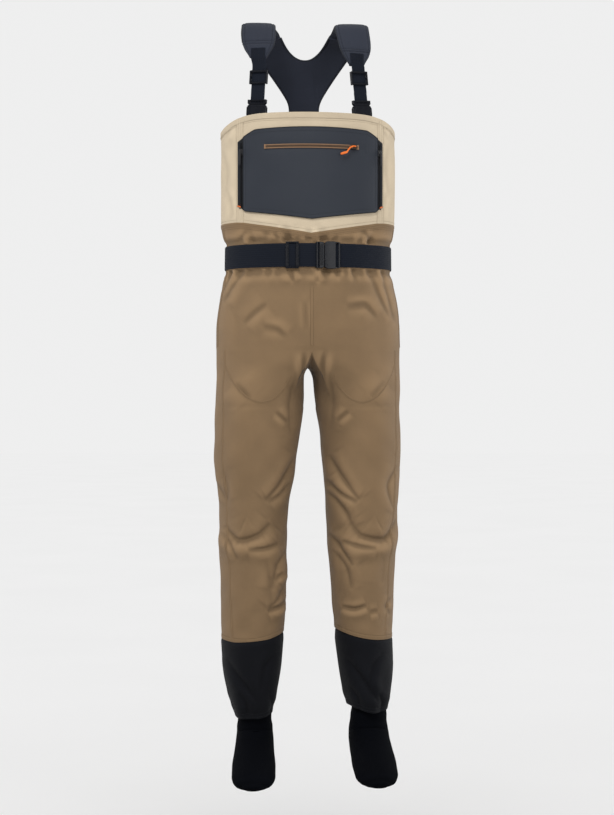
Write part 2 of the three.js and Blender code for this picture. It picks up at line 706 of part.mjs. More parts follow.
function yokeDepth(z) {
  const i = YOKE_LINE.findIndex(([height]) => height <= z);
  if (i < 0) return YOKE_LINE[YOKE_LINE.length - 1][1];
  const [z0, y0] = YOKE_LINE[Math.max(i - 1, 0)];
  const [z1, y1] = YOKE_LINE[Math.max(i, 1)];
  return lerp(y0, y1, (z0 - z) / (z0 - z1));
}

function addYoke() {
  const { middle, top, neck: low, stem, stemTop, foot } = YOKE;
  // u runs along the neck edge from the right pad to the left; t is 1 at a pad, 0 in the middle
  const neck = (side, t) => {
    // a round U that is flat in the middle and steep at the pads
    const z = lerp(low, top, t ** 1.9);
    return [middle + side * YOKE.neckWidth * ((z - low) / (top - low)) ** 0.47, z];
  };
  const rim = (side, t) => {
    const reach = HARNESS[side > 0 ? 'left' : 'right'].pad + PAD.width / 2 - side * middle;
    if (t < 0.26) return [middle + side * stem * (t / 0.26), foot];
    if (t < 0.5) return [middle + side * stem, lerp(foot, stemTop, (t - 0.26) / 0.24)];
    const f = (t - 0.5) / 0.5;
    return [middle + side * lerp(stem, reach, f ** 1.15), lerp(stemTop, top, f ** 0.75)];
  };
  const face = (off) => (u, v) => {
    const side = u < 0.5 ? -1 : 1;
    const t = Math.abs(2 * u - 1);
    const [x0, z0] = neck(side, t);
    const [x1, z1] = rim(side, t);
    const z = lerp(z0, z1, v);
    return v3(lerp(x0, x1, v), yokeDepth(z) + off, z);
  };
  add('back_yoke', sheet(face(YOKE.thickness), face(0), 32, 6), 'pad');
}

// ---- wading belt -----------------------------------------------------------------------------
function beltWebbing(s0, s1, steps) {
  const top = () => BELT_MIDDLE + BELT_HEIGHT / 2;
  const low = () => BELT_MIDDLE - BELT_HEIGHT / 2;
  const { off } = BELT;
  return bodyPatch(s0, s1, top, low, off, off + WEBBING, steps, 1);
}

function addBelt() {
  const whole = girth(BELT_MIDDLE);
  const fixedEnd = BELT.mouth + BELT_BUCKLE.length - BELT.inSocket;
  add('belt_webbing', beltWebbing(fixedEnd, whole + BELT.front, 44), 'webbing');
  const maleEnd = BELT.mouth - BELT_BUCKLE.base + BELT.inMale;
  add('belt_webbing_front', beltWebbing(BELT.front + GAP, maleEnd, 4), 'webbing');

  // a frame that lies against the belt at s, with its origin moved along the belt
  const middle = BELT.off + WEBBING / 2;
  const frameAt = (s, shift) => {
    const foot = bodyPoint(BELT_MIDDLE, s, middle);
    const inward = foot.clone().sub(bodyPoint(BELT_MIDDLE, s, middle + 1)).normalize();
    const up = v3(0, 0, 1);
    const along = up.clone().cross(inward);
    return placed(foot.addScaledVector(along, shift), up, inward, along);
  };
  add('belt_slider', adjuster(BELT_SLIDER), 'plastic', frameAt(BELT.slider, 0));
  addBuckle('belt_buckle', BELT_BUCKLE, frameAt(BELT.buckle, BELT.buckle - BELT.mouth), '');

  for (const side of sides) {
    const { half, low, off, thickness, clear, foot } = BELT_LOOP;
    const s = sign[side] * whole * BELT_LOOP.at;
    const slab = (inner, z0, z1) => bodyPatch(
      s - half, s + half, () => z1, () => z0, inner, off + thickness, 2, 1,
    );
    const reach = BELT_HEIGHT / 2 + clear;
    const [bottom, top] = [BELT_MIDDLE - reach, BELT_MIDDLE + reach];
    const parts = [
      slab(off, bottom - clear, top + clear), slab(low, bottom - 1 - foot, bottom - 1),
      slab(low, top + 1, top + 1 + foot),
    ];
    add(`belt_loop_${side}`, build(parts), 'webbing');
  }
}

addBody();
addPocket();
addBelt();
addYoke();
for (const side of sides) {
  addLeg(side);
  addHarness(side);
}

export default waders;
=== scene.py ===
"""Chest waders: the visible cloth, webbing, foam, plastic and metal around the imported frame."""
import json
import math

import bmesh
import bpy
import numpy as np
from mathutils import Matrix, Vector

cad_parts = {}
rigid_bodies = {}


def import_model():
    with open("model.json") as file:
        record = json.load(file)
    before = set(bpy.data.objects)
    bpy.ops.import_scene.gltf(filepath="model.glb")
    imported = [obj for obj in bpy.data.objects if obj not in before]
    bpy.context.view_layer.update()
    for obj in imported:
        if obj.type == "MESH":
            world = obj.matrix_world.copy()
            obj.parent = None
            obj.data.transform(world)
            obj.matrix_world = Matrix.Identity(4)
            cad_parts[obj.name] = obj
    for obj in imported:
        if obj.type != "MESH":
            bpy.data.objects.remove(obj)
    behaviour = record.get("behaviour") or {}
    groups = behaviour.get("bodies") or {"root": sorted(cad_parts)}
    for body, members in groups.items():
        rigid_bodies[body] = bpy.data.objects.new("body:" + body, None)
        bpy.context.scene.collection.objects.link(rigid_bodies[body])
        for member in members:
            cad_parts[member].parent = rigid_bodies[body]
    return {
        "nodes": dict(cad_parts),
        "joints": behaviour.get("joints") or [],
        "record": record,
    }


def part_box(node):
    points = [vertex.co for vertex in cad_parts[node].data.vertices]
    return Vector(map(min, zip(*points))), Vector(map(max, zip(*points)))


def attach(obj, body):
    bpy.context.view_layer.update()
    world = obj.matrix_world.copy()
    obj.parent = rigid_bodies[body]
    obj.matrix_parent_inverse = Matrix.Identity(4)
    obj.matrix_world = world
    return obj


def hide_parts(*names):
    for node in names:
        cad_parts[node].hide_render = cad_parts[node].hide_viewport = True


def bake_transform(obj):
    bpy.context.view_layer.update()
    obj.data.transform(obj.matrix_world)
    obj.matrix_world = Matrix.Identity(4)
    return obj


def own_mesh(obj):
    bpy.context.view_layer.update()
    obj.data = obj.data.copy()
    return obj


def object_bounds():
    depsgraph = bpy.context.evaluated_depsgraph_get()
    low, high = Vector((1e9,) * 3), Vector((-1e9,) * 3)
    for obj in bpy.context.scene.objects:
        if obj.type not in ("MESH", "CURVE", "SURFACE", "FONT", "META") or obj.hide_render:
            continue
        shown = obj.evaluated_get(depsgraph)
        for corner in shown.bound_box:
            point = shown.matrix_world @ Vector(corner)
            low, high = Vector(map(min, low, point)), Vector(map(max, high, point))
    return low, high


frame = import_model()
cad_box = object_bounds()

MM = 0.001
SIDES = (("left", 1), ("right", -1))
rng = np.random.default_rng(7)

# ---- camera, stage and light ---------------------------------------------------------------
LOW, HIGH = (np.array(v) for v in cad_box)
EYE_HEIGHT = -0.773
EYE_DISTANCE = 3.5
EYE_TURN = math.radians(-3.6)
EYE_SIDE = -0.0024
VIEW_HEIGHT = 1.6708


def make_camera():
    data = bpy.data.cameras.new("camera")
    cam = bpy.data.objects.new("camera", data)
    bpy.context.scene.collection.objects.link(cam)
    cam.location = (EYE_DISTANCE * math.sin(EYE_TURN) + EYE_SIDE, -EYE_DISTANCE * math.cos(EYE_TURN), EYE_HEIGHT)
    cam.rotation_euler = (math.pi / 2, 0, EYE_TURN)
    data.sensor_width = 36
    data.lens = 36 * EYE_DISTANCE / VIEW_HEIGHT
    data.clip_end = 60
    bpy.context.scene.camera = cam


make_camera()

# ---- the cut of the waders, in millimetres ---------------------------------------------------
BODY = [  # height, half width, half depth, radius of the side arcs
    (-150, 176, 111, 81), (-214, 178, 112, 82), (-400, 177, 112, 82), (-430, 171, 109, 80),
    (-446, 163.5, 104.5, 77), (-494, 163.5, 104.5, 77), (-520, 172, 111, 80),
    (-560, 181, 117, 84), (-615, 187.5, 121, 88), (-700, 189, 121, 90),
]
LEG = {  # height, distance from the middle, half width, depth offset, half depth
    "left": [
        (-699, 96, 91, 0, 112), (-760, 101, 86, 0, 102), (-873, 109, 79, -2, 90),
        (-960, 110, 74, -4, 82), (-1046, 111, 70, 2, 76), (-1160, 113, 63, 8, 72),
        (-1247, 115, 58, 10, 66),
    ],
    "right": [
        (-699, 96, 92, 0, 112), (-760, 99, 90, 0, 102), (-873, 108, 84, -2, 90),
        (-960, 111, 71, -4, 82), (-1046, 113, 68, 2, 76), (-1160, 113, 66, 8, 72),
        (-1247, 114, 63, 10, 66),
    ],
}
GUARD = {
    "left": [(-1247, 115, 59, 10, 68), (-1316, 120, 53, 8, 62), (-1382, 122, 44, 6, 54),
             (-1400, 123, 42, 6, 52)],
    "right": [(-1247, 114, 64, 10, 70), (-1316, 114, 57, 8, 62), (-1382, 112, 46, 6, 54),
              (-1408, 110, 42, 6, 52)],
}
FOOT = [  # forward position, height, tilt of the section, half width, half height
    (8, -1428, 0, 36, 42), (4, -1444, 22, 38, 51), (-12, -1459, 42, 39, 46),
    (-45, -1473, 54, 41, 34), (-90, -1490, 60, 44, 26), (-125, -1503, 62, 44, 21),
    (-150, -1512, 64, 36, 16), (-161, -1516, 64, 22, 9),
]
BIB_TOP, BIB_SIDE_DIP, BIB_SEAM, BIB_SEAM_V = -186, 28, -402, 25
FRONT_EDGE, SIDE_SEAM = 0.163, 0.23
SPLIT = -650  # the body parts into legs below this height
CROTCH = -692
HIP_BLEND = (-0.697, -0.815)
KNEE_BLEND = (-0.935, -1.065)
LEG_CUT = -872  # the two cloth pieces of a leg meet here
LEG_HEM = -1247
BELT_Z, BELT_HALF = -470, 23.5


def smooth_curve(xs, ys, x):
    """Values at x on a curve through (xs, ys) that never overshoots them; xs rise."""
    xs, ys = np.asarray(xs, float), np.asarray(ys, float)
    h = np.maximum(np.diff(xs), 1e-9)
    slope = np.diff(ys) / h
    m = np.zeros_like(ys)
    both = slope[:-1] * slope[1:] > 0
    w1, w2 = 2 * h[1:] + h[:-1], h[1:] + 2 * h[:-1]
    safe = np.where(both, slope[:-1] * slope[1:], 1)
    m[1:-1] = np.where(both, (w1 + w2) * safe / (w1 * slope[1:] + w2 * slope[:-1] + 1e-30 * ~both), 0)
    m[0], m[-1] = slope[0], slope[-1]
    x = np.clip(x, xs[0], xs[-1])
    i = np.clip(np.searchsorted(xs, x) - 1, 0, len(h) - 1)
    t = (x - xs[i]) / h[i]
    return ((2 * t**3 - 3 * t**2 + 1) * ys[i] + (t**3 - 2 * t**2 + t) * h[i] * m[i]
            + (-2 * t**3 + 3 * t**2) * ys[i + 1] + (t**3 - t**2) * h[i] * m[i + 1])


def stations(table, z):
    rows = np.array(sorted(table), float)
    return [smooth_curve(rows[:, 0], rows[:, k], z) for k in range(1, rows.shape[1])]


def smoothstep(x, a, b):
    t = np.clip((x - a) / (b - a), 0, 1)
    return t * t * (3 - 2 * t)


def oval(z):
    a, b, r = stations(BODY, z)
    c = a - r
    big = (c * c + b * b - r * r) / (2 * (b - r))
    alpha = np.arctan2(c, big - b)
    return a, b, r, c, big, alpha


def girth(z):
    _, _, r, _, big, alpha = oval(z)
    return 4 * (big * alpha + r * (np.pi / 2 - alpha))


def body_point(z, s, off=0.0):
    """Points on the body at height z; s is the way round from the centre front to +X."""
    z, s = np.broadcast_arrays(np.asarray(z, float), np.asarray(s, float))
    _, b, r, c, big, alpha = oval(z)
    whole = 4 * (big * alpha + r * (np.pi / 2 - alpha))
    turn = np.mod(s, whole)
    mirror = np.where(turn > whole / 2, -1.0, 1.0)
    d = np.where(mirror < 0, whole - turn, turn)
    rear = d > whole / 4
    d = np.where(rear, whole / 2 - d, d)
    front = d < big * alpha
    angle = np.where(front, d / big, alpha + (d - big * alpha) / r)
    radius = np.where(front, big, r) + off
    x = np.where(front, 0, c) + radius * np.sin(angle)
    y = np.where(front, big - b, 0) - radius * np.cos(angle)
    return np.stack([mirror * x, np.where(rear, -y, y), z], -1)


# ---- meshes from grids of points -------------------------------------------------------------
class Builder:
    """Gathers vertices and faces with a material index and a position on the cloth."""

    def __init__(self):
        self.points, self.faces, self.kinds, self.uvs, self.count = [], [], [], [], 0
        # painted light per point: painted highlight on ridges, painted shade in hollows and creases
        self.painted_bend_light = []

    def add(self, points, faces, kind=0, uv=None, painted_bend_light=None):
        points = np.asarray(points, float).reshape(-1, 3)
        n = len(points)
        self.points.append(points)
        self.uvs.append(points[:, [0, 2]] if uv is None else np.asarray(uv, float).reshape(-1, 2))
        self.painted_bend_light.append(np.zeros(n) if painted_bend_light is None else np.asarray(painted_bend_light, float).ravel())
        faces = np.asarray(faces, int)
        self.faces.append(faces + self.count)
        self.kinds.append(np.full(len(faces), kind))
        self.count += n

    def grid(self, P, closed=False, kind=0, thick=0.0, uv=None, painted_bend_light=None, inner_kind=None, flip=False):
        """A sheet over rows x columns of points, with a second face thick mm below it."""
        rows, cols = P.shape[:2]
        N = grid_normals(P, closed)
        if flip:
            N = -N
        if uv is None:
            uv = grid_uv(P, closed)
        index = np.arange(rows * cols).reshape(rows, cols)
        right = np.roll(index, -1, 1) if closed else index[:, 1:]
        left = index if closed else index[:, :-1]
        quads = np.stack([left[:-1], left[1:], right[1:], right[:-1]], -1).reshape(-1, 4)
        if flip:
            quads = quads[:, ::-1]
        if not np.any(thick):
            self.add(P, quads, kind, uv, painted_bend_light)
            return
        start = self.count
        self.add(P, quads, kind, uv, painted_bend_light)
        self.add(P - N * np.asarray(thick)[..., None], quads[:, ::-1],
                 kind if inner_kind is None else inner_kind, uv, painted_bend_light)
        far = rows * cols
        rims = [index[0], index[-1][::-1]] if closed else [
            np.concatenate([index[0], index[1:, -1], index[-1, -2::-1], index[-2:0:-1, 0]])]
        for rim in rims:
            a, b = rim, np.roll(rim, -1)
            band = np.stack([a, b, b + far, a + far], -1)
            if flip:
                band = band[:, ::-1]
            self.faces.append(band + start)
            self.kinds.append(np.full(len(band), kind))

    def tube(self, line, radius, kind=0, sides=6, closed=False):
        """A round cord along a line of points, with flat ends."""
        line = np.asarray(line, float)
        n = len(line)
        tangent = np.gradient(line, axis=0) if not closed else np.roll(line, -1, 0) - np.roll(line, 1, 0)
        tangent /= np.linalg.norm(tangent, axis=1)[:, None] + 1e-12
        guide = np.array([0.31, 0.22, 0.93])
        across = np.cross(tangent, guide)
        across /= np.linalg.norm(across, axis=1)[:, None] + 1e-12
        other = np.cross(tangent, across)
        angle = np.arange(sides) * 2 * np.pi / sides
        ring = (across[:, None] * np.cos(angle)[:, None] + other[:, None] * np.sin(angle)[:, None])
        P = line[:, None] + ring * np.broadcast_to(radius, (n,))[:, None, None]
        index = np.arange(n * sides).reshape(n, sides)
        nxt = np.roll(index, -1, 1)
        rows = index if closed else index[:-1]
        rows2, nrows, nrows2 = (np.roll(index, -1, 0) if closed else index[1:]), (
            nxt if closed else nxt[:-1]), (np.roll(nxt, -1, 0) if closed else nxt[1:])
        quads = np.stack([rows, nrows, nrows2, rows2], -1).reshape(-1, 4)
        self.add(P, quads, kind)
        if not closed:
            caps = [index[0][::-1], index[-1]]
            for cap in caps:
                for k in range(1, sides - 1, 2):
                    quad = [cap[0], cap[k], cap[k + 1], cap[min(k + 2, sides - 1)]]
                    self.faces.append(np.array([quad]) + self.count - n * sides)
                    self.kinds.append(np.array([kind]))

    def stitches(self, line, normal, pitch=4.0, length=2.6, radius=0.32, kind=1, lift=0.15):
        """A row of short threads lying along a line of points."""
        line, normal = np.asarray(line, float), np.asarray(normal, float)
        step = np.linalg.norm(np.diff(line, axis=0), axis=1)
        at = np.concatenate([[0], np.cumsum(step)])
        count = int(at[-1] // pitch)
        if count < 1:
            return
        mid = (np.arange(count) + 0.5) * at[-1] / count
        ends = []
        for shift in (-0.5, 0.0, 0.5):
            where = mid + shift * length
            ends.append(np.stack([np.interp(where, at, line[:, k]) for k in range(3)], -1))
        n = np.stack([np.interp(mid, at, normal[:, k]) for k in range(3)], -1)
        n /= np.linalg.norm(n, axis=1)[:, None] + 1e-12
        along = ends[2] - ends[0]
        along /= np.linalg.norm(along, axis=1)[:, None] + 1e-12
        side = np.cross(n, along)
        lifts = (-0.25, 0.35, -0.25)
        P = []
        for end, up in zip(ends, lifts):
            base = end + n * (lift + up * radius)[..., None] if np.ndim(lift) else end + n * (lift + up * radius)
            P += [base + side * radius, base + n * radius, base - side * radius, base - n * radius]
        P = np.stack(P, 1)
        quads = []
        for k in (0, 4):
            for j in range(4):
                quads.append([k + j, k + (j + 1) % 4, k + 4 + (j + 1) % 4, k + 4 + j])
        quads += [[3, 2, 1, 0], [8, 9, 10, 11]]
        quads = np.array(quads)
        faces = (quads[None] + (np.arange(count) * 12)[:, None, None]).reshape(-1, 4)
        self.add(P.reshape(-1, 3), faces, kind)

    def ribbon(self, line, normal, width, height, kind=0, round_edges=0.35, taper=None):
        """A flat strip laid along a line, standing height above it."""
        line, normal = np.asarray(line, float), np.asarray(normal, float)
        along = np.gradient(line, axis=0)
        side = np.cross(normal, along)
        side /= np.linalg.norm(side, axis=1)[:, None] + 1e-12
        w = np.broadcast_to(width, (len(line),))[:, None]
        low = -0.3
        steps = [(-0.5, low), (-0.48, height * (1 - round_edges)), (-0.4, height),
                 (0.4, height), (0.48, height * (1 - round_edges)), (0.5, low)]
        P = np.stack([line + side * w * a + normal * h for a, h in steps], 1)
        at = np.concatenate([[0], np.cumsum(np.linalg.norm(np.diff(line, axis=0), axis=1))])
        v = np.broadcast_to(at[:, None], P.shape[:2])
        u = np.array([a for a, _ in steps])[None] * w
        n, c = P.shape[:2]
        index = np.arange(n * c).reshape(n, c)
        nxt = np.roll(index, -1, 1)
        quads = np.stack([index[:-1], nxt[:-1], nxt[1:], index[1:]], -1).reshape(-1, 4)
        ends = np.array([[0, 1, 2, 3], [0, 3, 4, 5]])
        quads = np.concatenate([quads[:, ::-1], ends, (ends + (n - 1) * c)[:, ::-1]])
        self.add(P, quads, kind, np.stack([u, v], -1))

    def build(self, name, materials, smooth=True, sharp=None):
        points = np.concatenate(self.points) * MM
        uvs = np.concatenate(self.uvs) * MM
        mesh = bpy.data.meshes.new(name)
        faces = [f.reshape(-1, 4) for f in self.faces]
        faces = np.concatenate(faces)
        kinds = np.concatenate(self.kinds)
        lists = []
        for f in faces.tolist():
            g = []
            for v in f:
                if v not in g:
                    g.append(v)
            lists.append(g)
        keep = [i for i, g in enumerate(lists) if len(g) > 2]
        mesh.from_pydata(points.tolist(), [], [lists[i] for i in keep])
        mesh.polygons.foreach_set("material_index", kinds[keep])
        loops = np.zeros(len(mesh.loops), np.int32)
        mesh.loops.foreach_get("vertex_index", loops)
        layer = mesh.uv_layers.new(name="cloth")
        layer.data.foreach_set("uv", uvs[loops].astype(np.float32).ravel())
        # the painted light attribute, read by the cloth shaders
        painted_bend_light = mesh.attributes.new("painted_bend_light", "FLOAT", "POINT")
        painted_bend_light.data.foreach_set("value", np.concatenate(self.painted_bend_light).astype(np.float32))
        for m in materials:
            mesh.materials.append(m)
        obj = bpy.data.objects.new(name, mesh)
        bpy.context.scene.collection.objects.link(obj)
        if smooth:
            smooth_by_angle(obj, sharp or 40)
        return obj


def smooth_by_angle(obj, angle):
    mesh = obj.data
    mesh.polygons.foreach_set("use_smooth", [True] * len(mesh.polygons))
    mesh.set_sharp_from_angle(angle=math.radians(angle))


def grid_normals(P, closed):
    if closed:
        du = np.roll(P, -1, 1) - np.roll(P, 1, 1)
    else:
        du = np.gradient(P, axis=1)
    dv = np.gradient(P, axis=0)
    N = np.cross(dv, du)
    return N / (np.linalg.norm(N, axis=-1)[..., None] + 1e-12)


def grid_uv(P, closed):
    du = np.linalg.norm(np.diff(P, axis=1), axis=-1)
    u = np.concatenate([np.zeros((P.shape[0], 1)), np.cumsum(du, 1)], 1)
    u = u.mean(0)[None] + 0 * u
    dv = np.linalg.norm(np.diff(P, axis=0), axis=-1)
    v = np.concatenate([np.zeros((1, P.shape[1])), np.cumsum(dv, 0)], 0)
    v = v.mean(1)[:, None] + 0 * v
    return np.stack([u, v], -1)


# ---- materials -------------------------------------------------------------------------------
def nodes_of(name):
    m = bpy.data.materials.new(name)
    m.use_nodes = True
    tree = m.node_tree
    shader = tree.nodes["Principled BSDF"]
    return m, tree, shader


def link(tree, a, b):
    tree.links.new(a, b)


def math_node(tree, op, a, b=None, c=None):
    n = tree.nodes.new("ShaderNodeMath")
    n.operation = op
    for i, v in enumerate((a, b, c)):
        if v is None:
            continue
        if isinstance(v, (int, float)):
            n.inputs[i].default_value = v
        else:
            link(tree, v, n.inputs[i])
    return n.outputs[0]


def noise(tree, vector, scale, detail=3.0, rough=0.5):
    n = tree.nodes.new("ShaderNodeTexNoise")
    n.inputs["Scale"].default_value = scale
    n.inputs["Detail"].default_value = detail
    n.inputs["Roughness"].default_value = rough
    if vector is not None:
        link(tree, vector, n.inputs["Vector"])
    return n.outputs["Fac"]


def ramp(tree, fac, stops):
    n = tree.nodes.new("ShaderNodeValToRGB")
    el = n.color_ramp.elements
    el[0].position, el[0].color = stops[0][0], (*stops[0][1], 1)
    el[1].position, el[1].color = stops[-1][0], (*stops[-1][1], 1)
    for pos, col in stops[1:-1]:
        e = el.new(pos)
        e.color = (*col, 1)
    link(tree, fac, n.inputs["Fac"])
    return n.outputs["Color"]


def mix(tree, fac, a, b, mode="MIX"):
    n = tree.nodes.new("ShaderNodeMix")
    n.data_type = "RGBA"
    n.blend_type = mode
    factor = n.inputs[0]
    colour_a, colour_b = n.inputs[6], n.inputs[7]
    for sock, v in ((factor, fac), (colour_a, a), (colour_b, b)):
        if isinstance(v, (int, float)):
            sock.default_value = v
        elif isinstance(v, tuple):
            sock.default_value = (*v, 1)
        else:
            link(tree, v, sock)
    return n.outputs[2]


def shade(colour, k):
    return tuple(min(1.0, c * k) for c in colour)


def weave_height(tree, uv, pitch_u, pitch_v, twill=0.0):
    """Threads over and under each other; pitches in metres."""
    sep = tree.nodes.new("ShaderNodeSeparateXYZ")
    link(tree, uv, sep.inputs[0])
    u = math_node(tree, "MULTIPLY", sep.outputs[0], math.pi / pitch_u)
    v = math_node(tree, "MULTIPLY", sep.outputs[1], math.pi / pitch_v)
    if twill:
        u = math_node(tree, "ADD", u, math_node(tree, "MULTIPLY", v, twill))
    return math_node(tree, "MULTIPLY", math_node(tree, "SINE", u), math_node(tree, "SINE", v))


ALBEDO = 0.66  # the softboxes add to the even light of the room


def fabric(name, colour, pitch=(0.0009, 0.0009), rough=0.8, bump=0.25, sheen=0.04,
           twill=0.0, fleck=0.1, painted_bend_light=0.25, blotch=0.12, shine=0.12):
    m, tree, shader = nodes_of(name)
    colour = shade(colour, ALBEDO)
    uvn = tree.nodes.new("ShaderNodeUVMap")
    uvn.uv_map = "cloth"
    uv = uvn.outputs[0]
    coord = tree.nodes.new("ShaderNodeTexCoord").outputs["Object"]
    weave = weave_height(tree, uv, *pitch, twill)
    big = noise(tree, coord, 5.0, 4, 0.55)
    mid = noise(tree, coord, 34.0, 4, 0.6)
    fine = noise(tree, uv, 900.0, 2, 0.6)
    base = ramp(tree, big, [(0.3, shade(colour, 1 - blotch)), (0.7, shade(colour, 1 + blotch))])
    base = mix(tree, 0.06, base, ramp(tree, mid, [(0.35, shade(colour, 0.55)), (0.65, shade(colour, 1.45))]))
    base = mix(tree, fleck, base, ramp(tree, fine, [(0.35, shade(colour, 0.3)), (0.65, shade(colour, 1.8))]))
    thread = ramp(tree, math_node(tree, "MULTIPLY_ADD", weave, 0.5, 0.5),
                  [(0.0, (0.78, 0.78, 0.78)), (1.0, (1.08, 1.08, 1.08))])
    base = mix(tree, 0.8, base, thread, "MULTIPLY")
    # painted light from the bend of the cloth: ridges are painted lighter as a highlight, hollows and creases are
    # painted darker as shade
    attribute = tree.nodes.new("ShaderNodeAttribute")
    attribute.attribute_name = "painted_bend_light"
    value = attribute.outputs["Fac"]
    painted_ridge_highlight = math_node(tree, "MULTIPLY", math_node(tree, "MAXIMUM", value, 0.0), painted_bend_light)
    painted_hollow_shade = math_node(tree, "MULTIPLY", math_node(tree, "MAXIMUM", math_node(tree, "MULTIPLY", value, -1.0), 0.0), painted_bend_light)
    base = mix(tree, painted_ridge_highlight, base, shade(colour, 1.7))
    base = mix(tree, painted_hollow_shade, base, shade(colour, 0.45))
    link(tree, base, shader.inputs["Base Color"])
    r = math_node(tree, "ADD", math_node(tree, "MULTIPLY", mid, 0.16), rough - 0.08)
    r = math_node(tree, "ADD", r, math_node(tree, "MULTIPLY", weave, -0.05))
    link(tree, r, shader.inputs["Roughness"])
    height = math_node(tree, "ADD", math_node(tree, "MULTIPLY", weave, 0.6),
                       math_node(tree, "MULTIPLY", fine, 0.5))
    height = math_node(tree, "ADD", height, math_node(tree, "MULTIPLY", mid, 1.2))
    b = tree.nodes.new("ShaderNodeBump")
    b.inputs["Strength"].default_value = bump
    b.inputs["Distance"].default_value = 0.0006
    link(tree, height, b.inputs["Height"])
    link(tree, b.outputs[0], shader.inputs["Normal"])
    shader.inputs["Sheen Weight"].default_value = sheen
    shader.inputs["Sheen Roughness"].default_value = 0.5
    shader.inputs["Specular IOR Level"].default_value = shine
    return m


def plastic(name, colour, rough=0.35, grain=380.0, bump=0.12, metal=0.0, shine=0.4):
    m, tree, shader = nodes_of(name)
    colour = shade(colour, ALBEDO)
    coord = tree.nodes.new("ShaderNodeTexCoord").outputs["Object"]
    coarse = noise(tree, coord, 45.0, 4, 0.6)
    fine = noise(tree, coord, grain * 6, 2, 0.5)
    link(tree, ramp(tree, coarse, [(0.3, shade(colour, 0.8)), (0.7, shade(colour, 1.25))]),
         shader.inputs["Base Color"])
    r = math_node(tree, "ADD", math_node(tree, "MULTIPLY", coarse, 0.22), rough - 0.1)
    link(tree, r, shader.inputs["Roughness"])
    b = tree.nodes.new("ShaderNodeBump")
    b.inputs["Strength"].default_value = bump
    b.inputs["Distance"].default_value = 0.0003
    link(tree, fine, b.inputs["Height"])
    link(tree, b.outputs[0], shader.inputs["Normal"])
    shader.inputs["Metallic"].default_value = metal
    shader.inputs["Specular IOR Level"].default_value = shine
    return m


BROWN = (0.223, 0.144, 0.077)
TAN = (0.585, 0.485, 0.35)
mat = {
    # the shell cloth gets the strongest painted fold shade and highlight
    "shell": fabric("shell_cloth", BROWN, rough=0.78, bump=0.35, painted_bend_light=0.42),
    "shell_lining": fabric("shell_lining", (0.05, 0.053, 0.057), rough=0.85),
    "bib": fabric("bib_cloth", TAN, rough=0.8, bump=0.3, blotch=0.05),
    "bib_lining": fabric("bib_lining", (0.055, 0.058, 0.062), rough=0.85),
    "shell_thread": fabric("shell_thread", shade(BROWN, 0.62), pitch=(0.0004, 0.0008), painted_bend_light=0),
    "bib_thread": fabric("bib_thread", shade(TAN, 0.72), pitch=(0.0004, 0.0008), painted_bend_light=0),
    "bib_edge": fabric("bib_edge", shade(TAN, 0.96), rough=0.82),
    "pocket": fabric("pocket_cloth", (0.0182, 0.0228, 0.0330), pitch=(0.0007, 0.0007), rough=0.62,
                     bump=0.18, fleck=0.05, blotch=0.08, shine=0.2),
    "pocket_edge": fabric("pocket_edge", (0.007, 0.0085, 0.0115), pitch=(0.0007, 0.0007), rough=0.7),
    "pad": fabric("pad_knit", (0.0265, 0.031, 0.0455), pitch=(0.0016, 0.0012), twill=0.5, bump=0.5,
                  rough=0.82, fleck=0.16),
    "yoke": fabric("yoke_neoprene", (0.026, 0.030, 0.045), pitch=(0.0013, 0.0010), twill=0.5, bump=0.4,
                   rough=0.82, fleck=0.16),
    "pad_binding": fabric("pad_binding", (0.020, 0.023, 0.031), pitch=(0.0012, 0.0006), bump=0.5),
    "pad_thread": fabric("pad_thread", (0.012, 0.013, 0.017), pitch=(0.0004, 0.0008), painted_bend_light=0),
    "webbing": fabric("nylon_webbing", (0.0078, 0.0102, 0.0168), pitch=(0.0021, 0.0013), twill=1.0,
                      bump=0.45, rough=0.7, sheen=0.0, fleck=0.1, shine=0.06),
    "guard": fabric("guard_packcloth", (0.0050, 0.0054, 0.0075), pitch=(0.0010, 0.0010), bump=0.4,
                    rough=0.8, sheen=0.02, shine=0.07),
    "neoprene": fabric("neoprene_knit", (0.0024, 0.0028, 0.0042), pitch=(0.0012, 0.0009), twill=0.5,
                       bump=0.45, rough=0.88, sheen=0.0, shine=0.02),
    "dark_thread": fabric("dark_thread", (0.011, 0.012, 0.016), pitch=(0.0004, 0.0008), painted_bend_light=0),
    "plastic": plastic("acetal", (0.0060, 0.0068, 0.0100), rough=0.27, shine=0.1),
    "zip_tape": fabric("zip_tape", (0.088, 0.052, 0.030), pitch=(0.0008, 0.0006), rough=0.6),
    "zip_edge": fabric("zip_edge", (0.27, 0.155, 0.085), pitch=(0.0006, 0.0006), rough=0.5, painted_bend_light=0),
    "zip_teeth": plastic("zip_teeth", (0.085, 0.055, 0.036), rough=0.4),
    "slider": plastic("slider_bronze", (0.06, 0.042, 0.03), rough=0.4, metal=0.9),
    "cord": fabric("cord_pull_rubber", (0.92, 0.20, 0.03), pitch=(0.0011, 0.0007), rough=0.5,
                   bump=0.5, twill=1.0, fleck=0.04),
    "tack": fabric("bar_tack", (0.85, 0.19, 0.04), pitch=(0.0004, 0.0016), rough=0.6, bump=0.8),
    "dark_zip": plastic("dark_zip", (0.006, 0.006, 0.008), rough=0.45, shine=0.3),
}


def dress(obj, body, slot, replaces=(), **facts):
    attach(obj, body)
    if replaces:
        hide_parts(*replaces)
    return obj


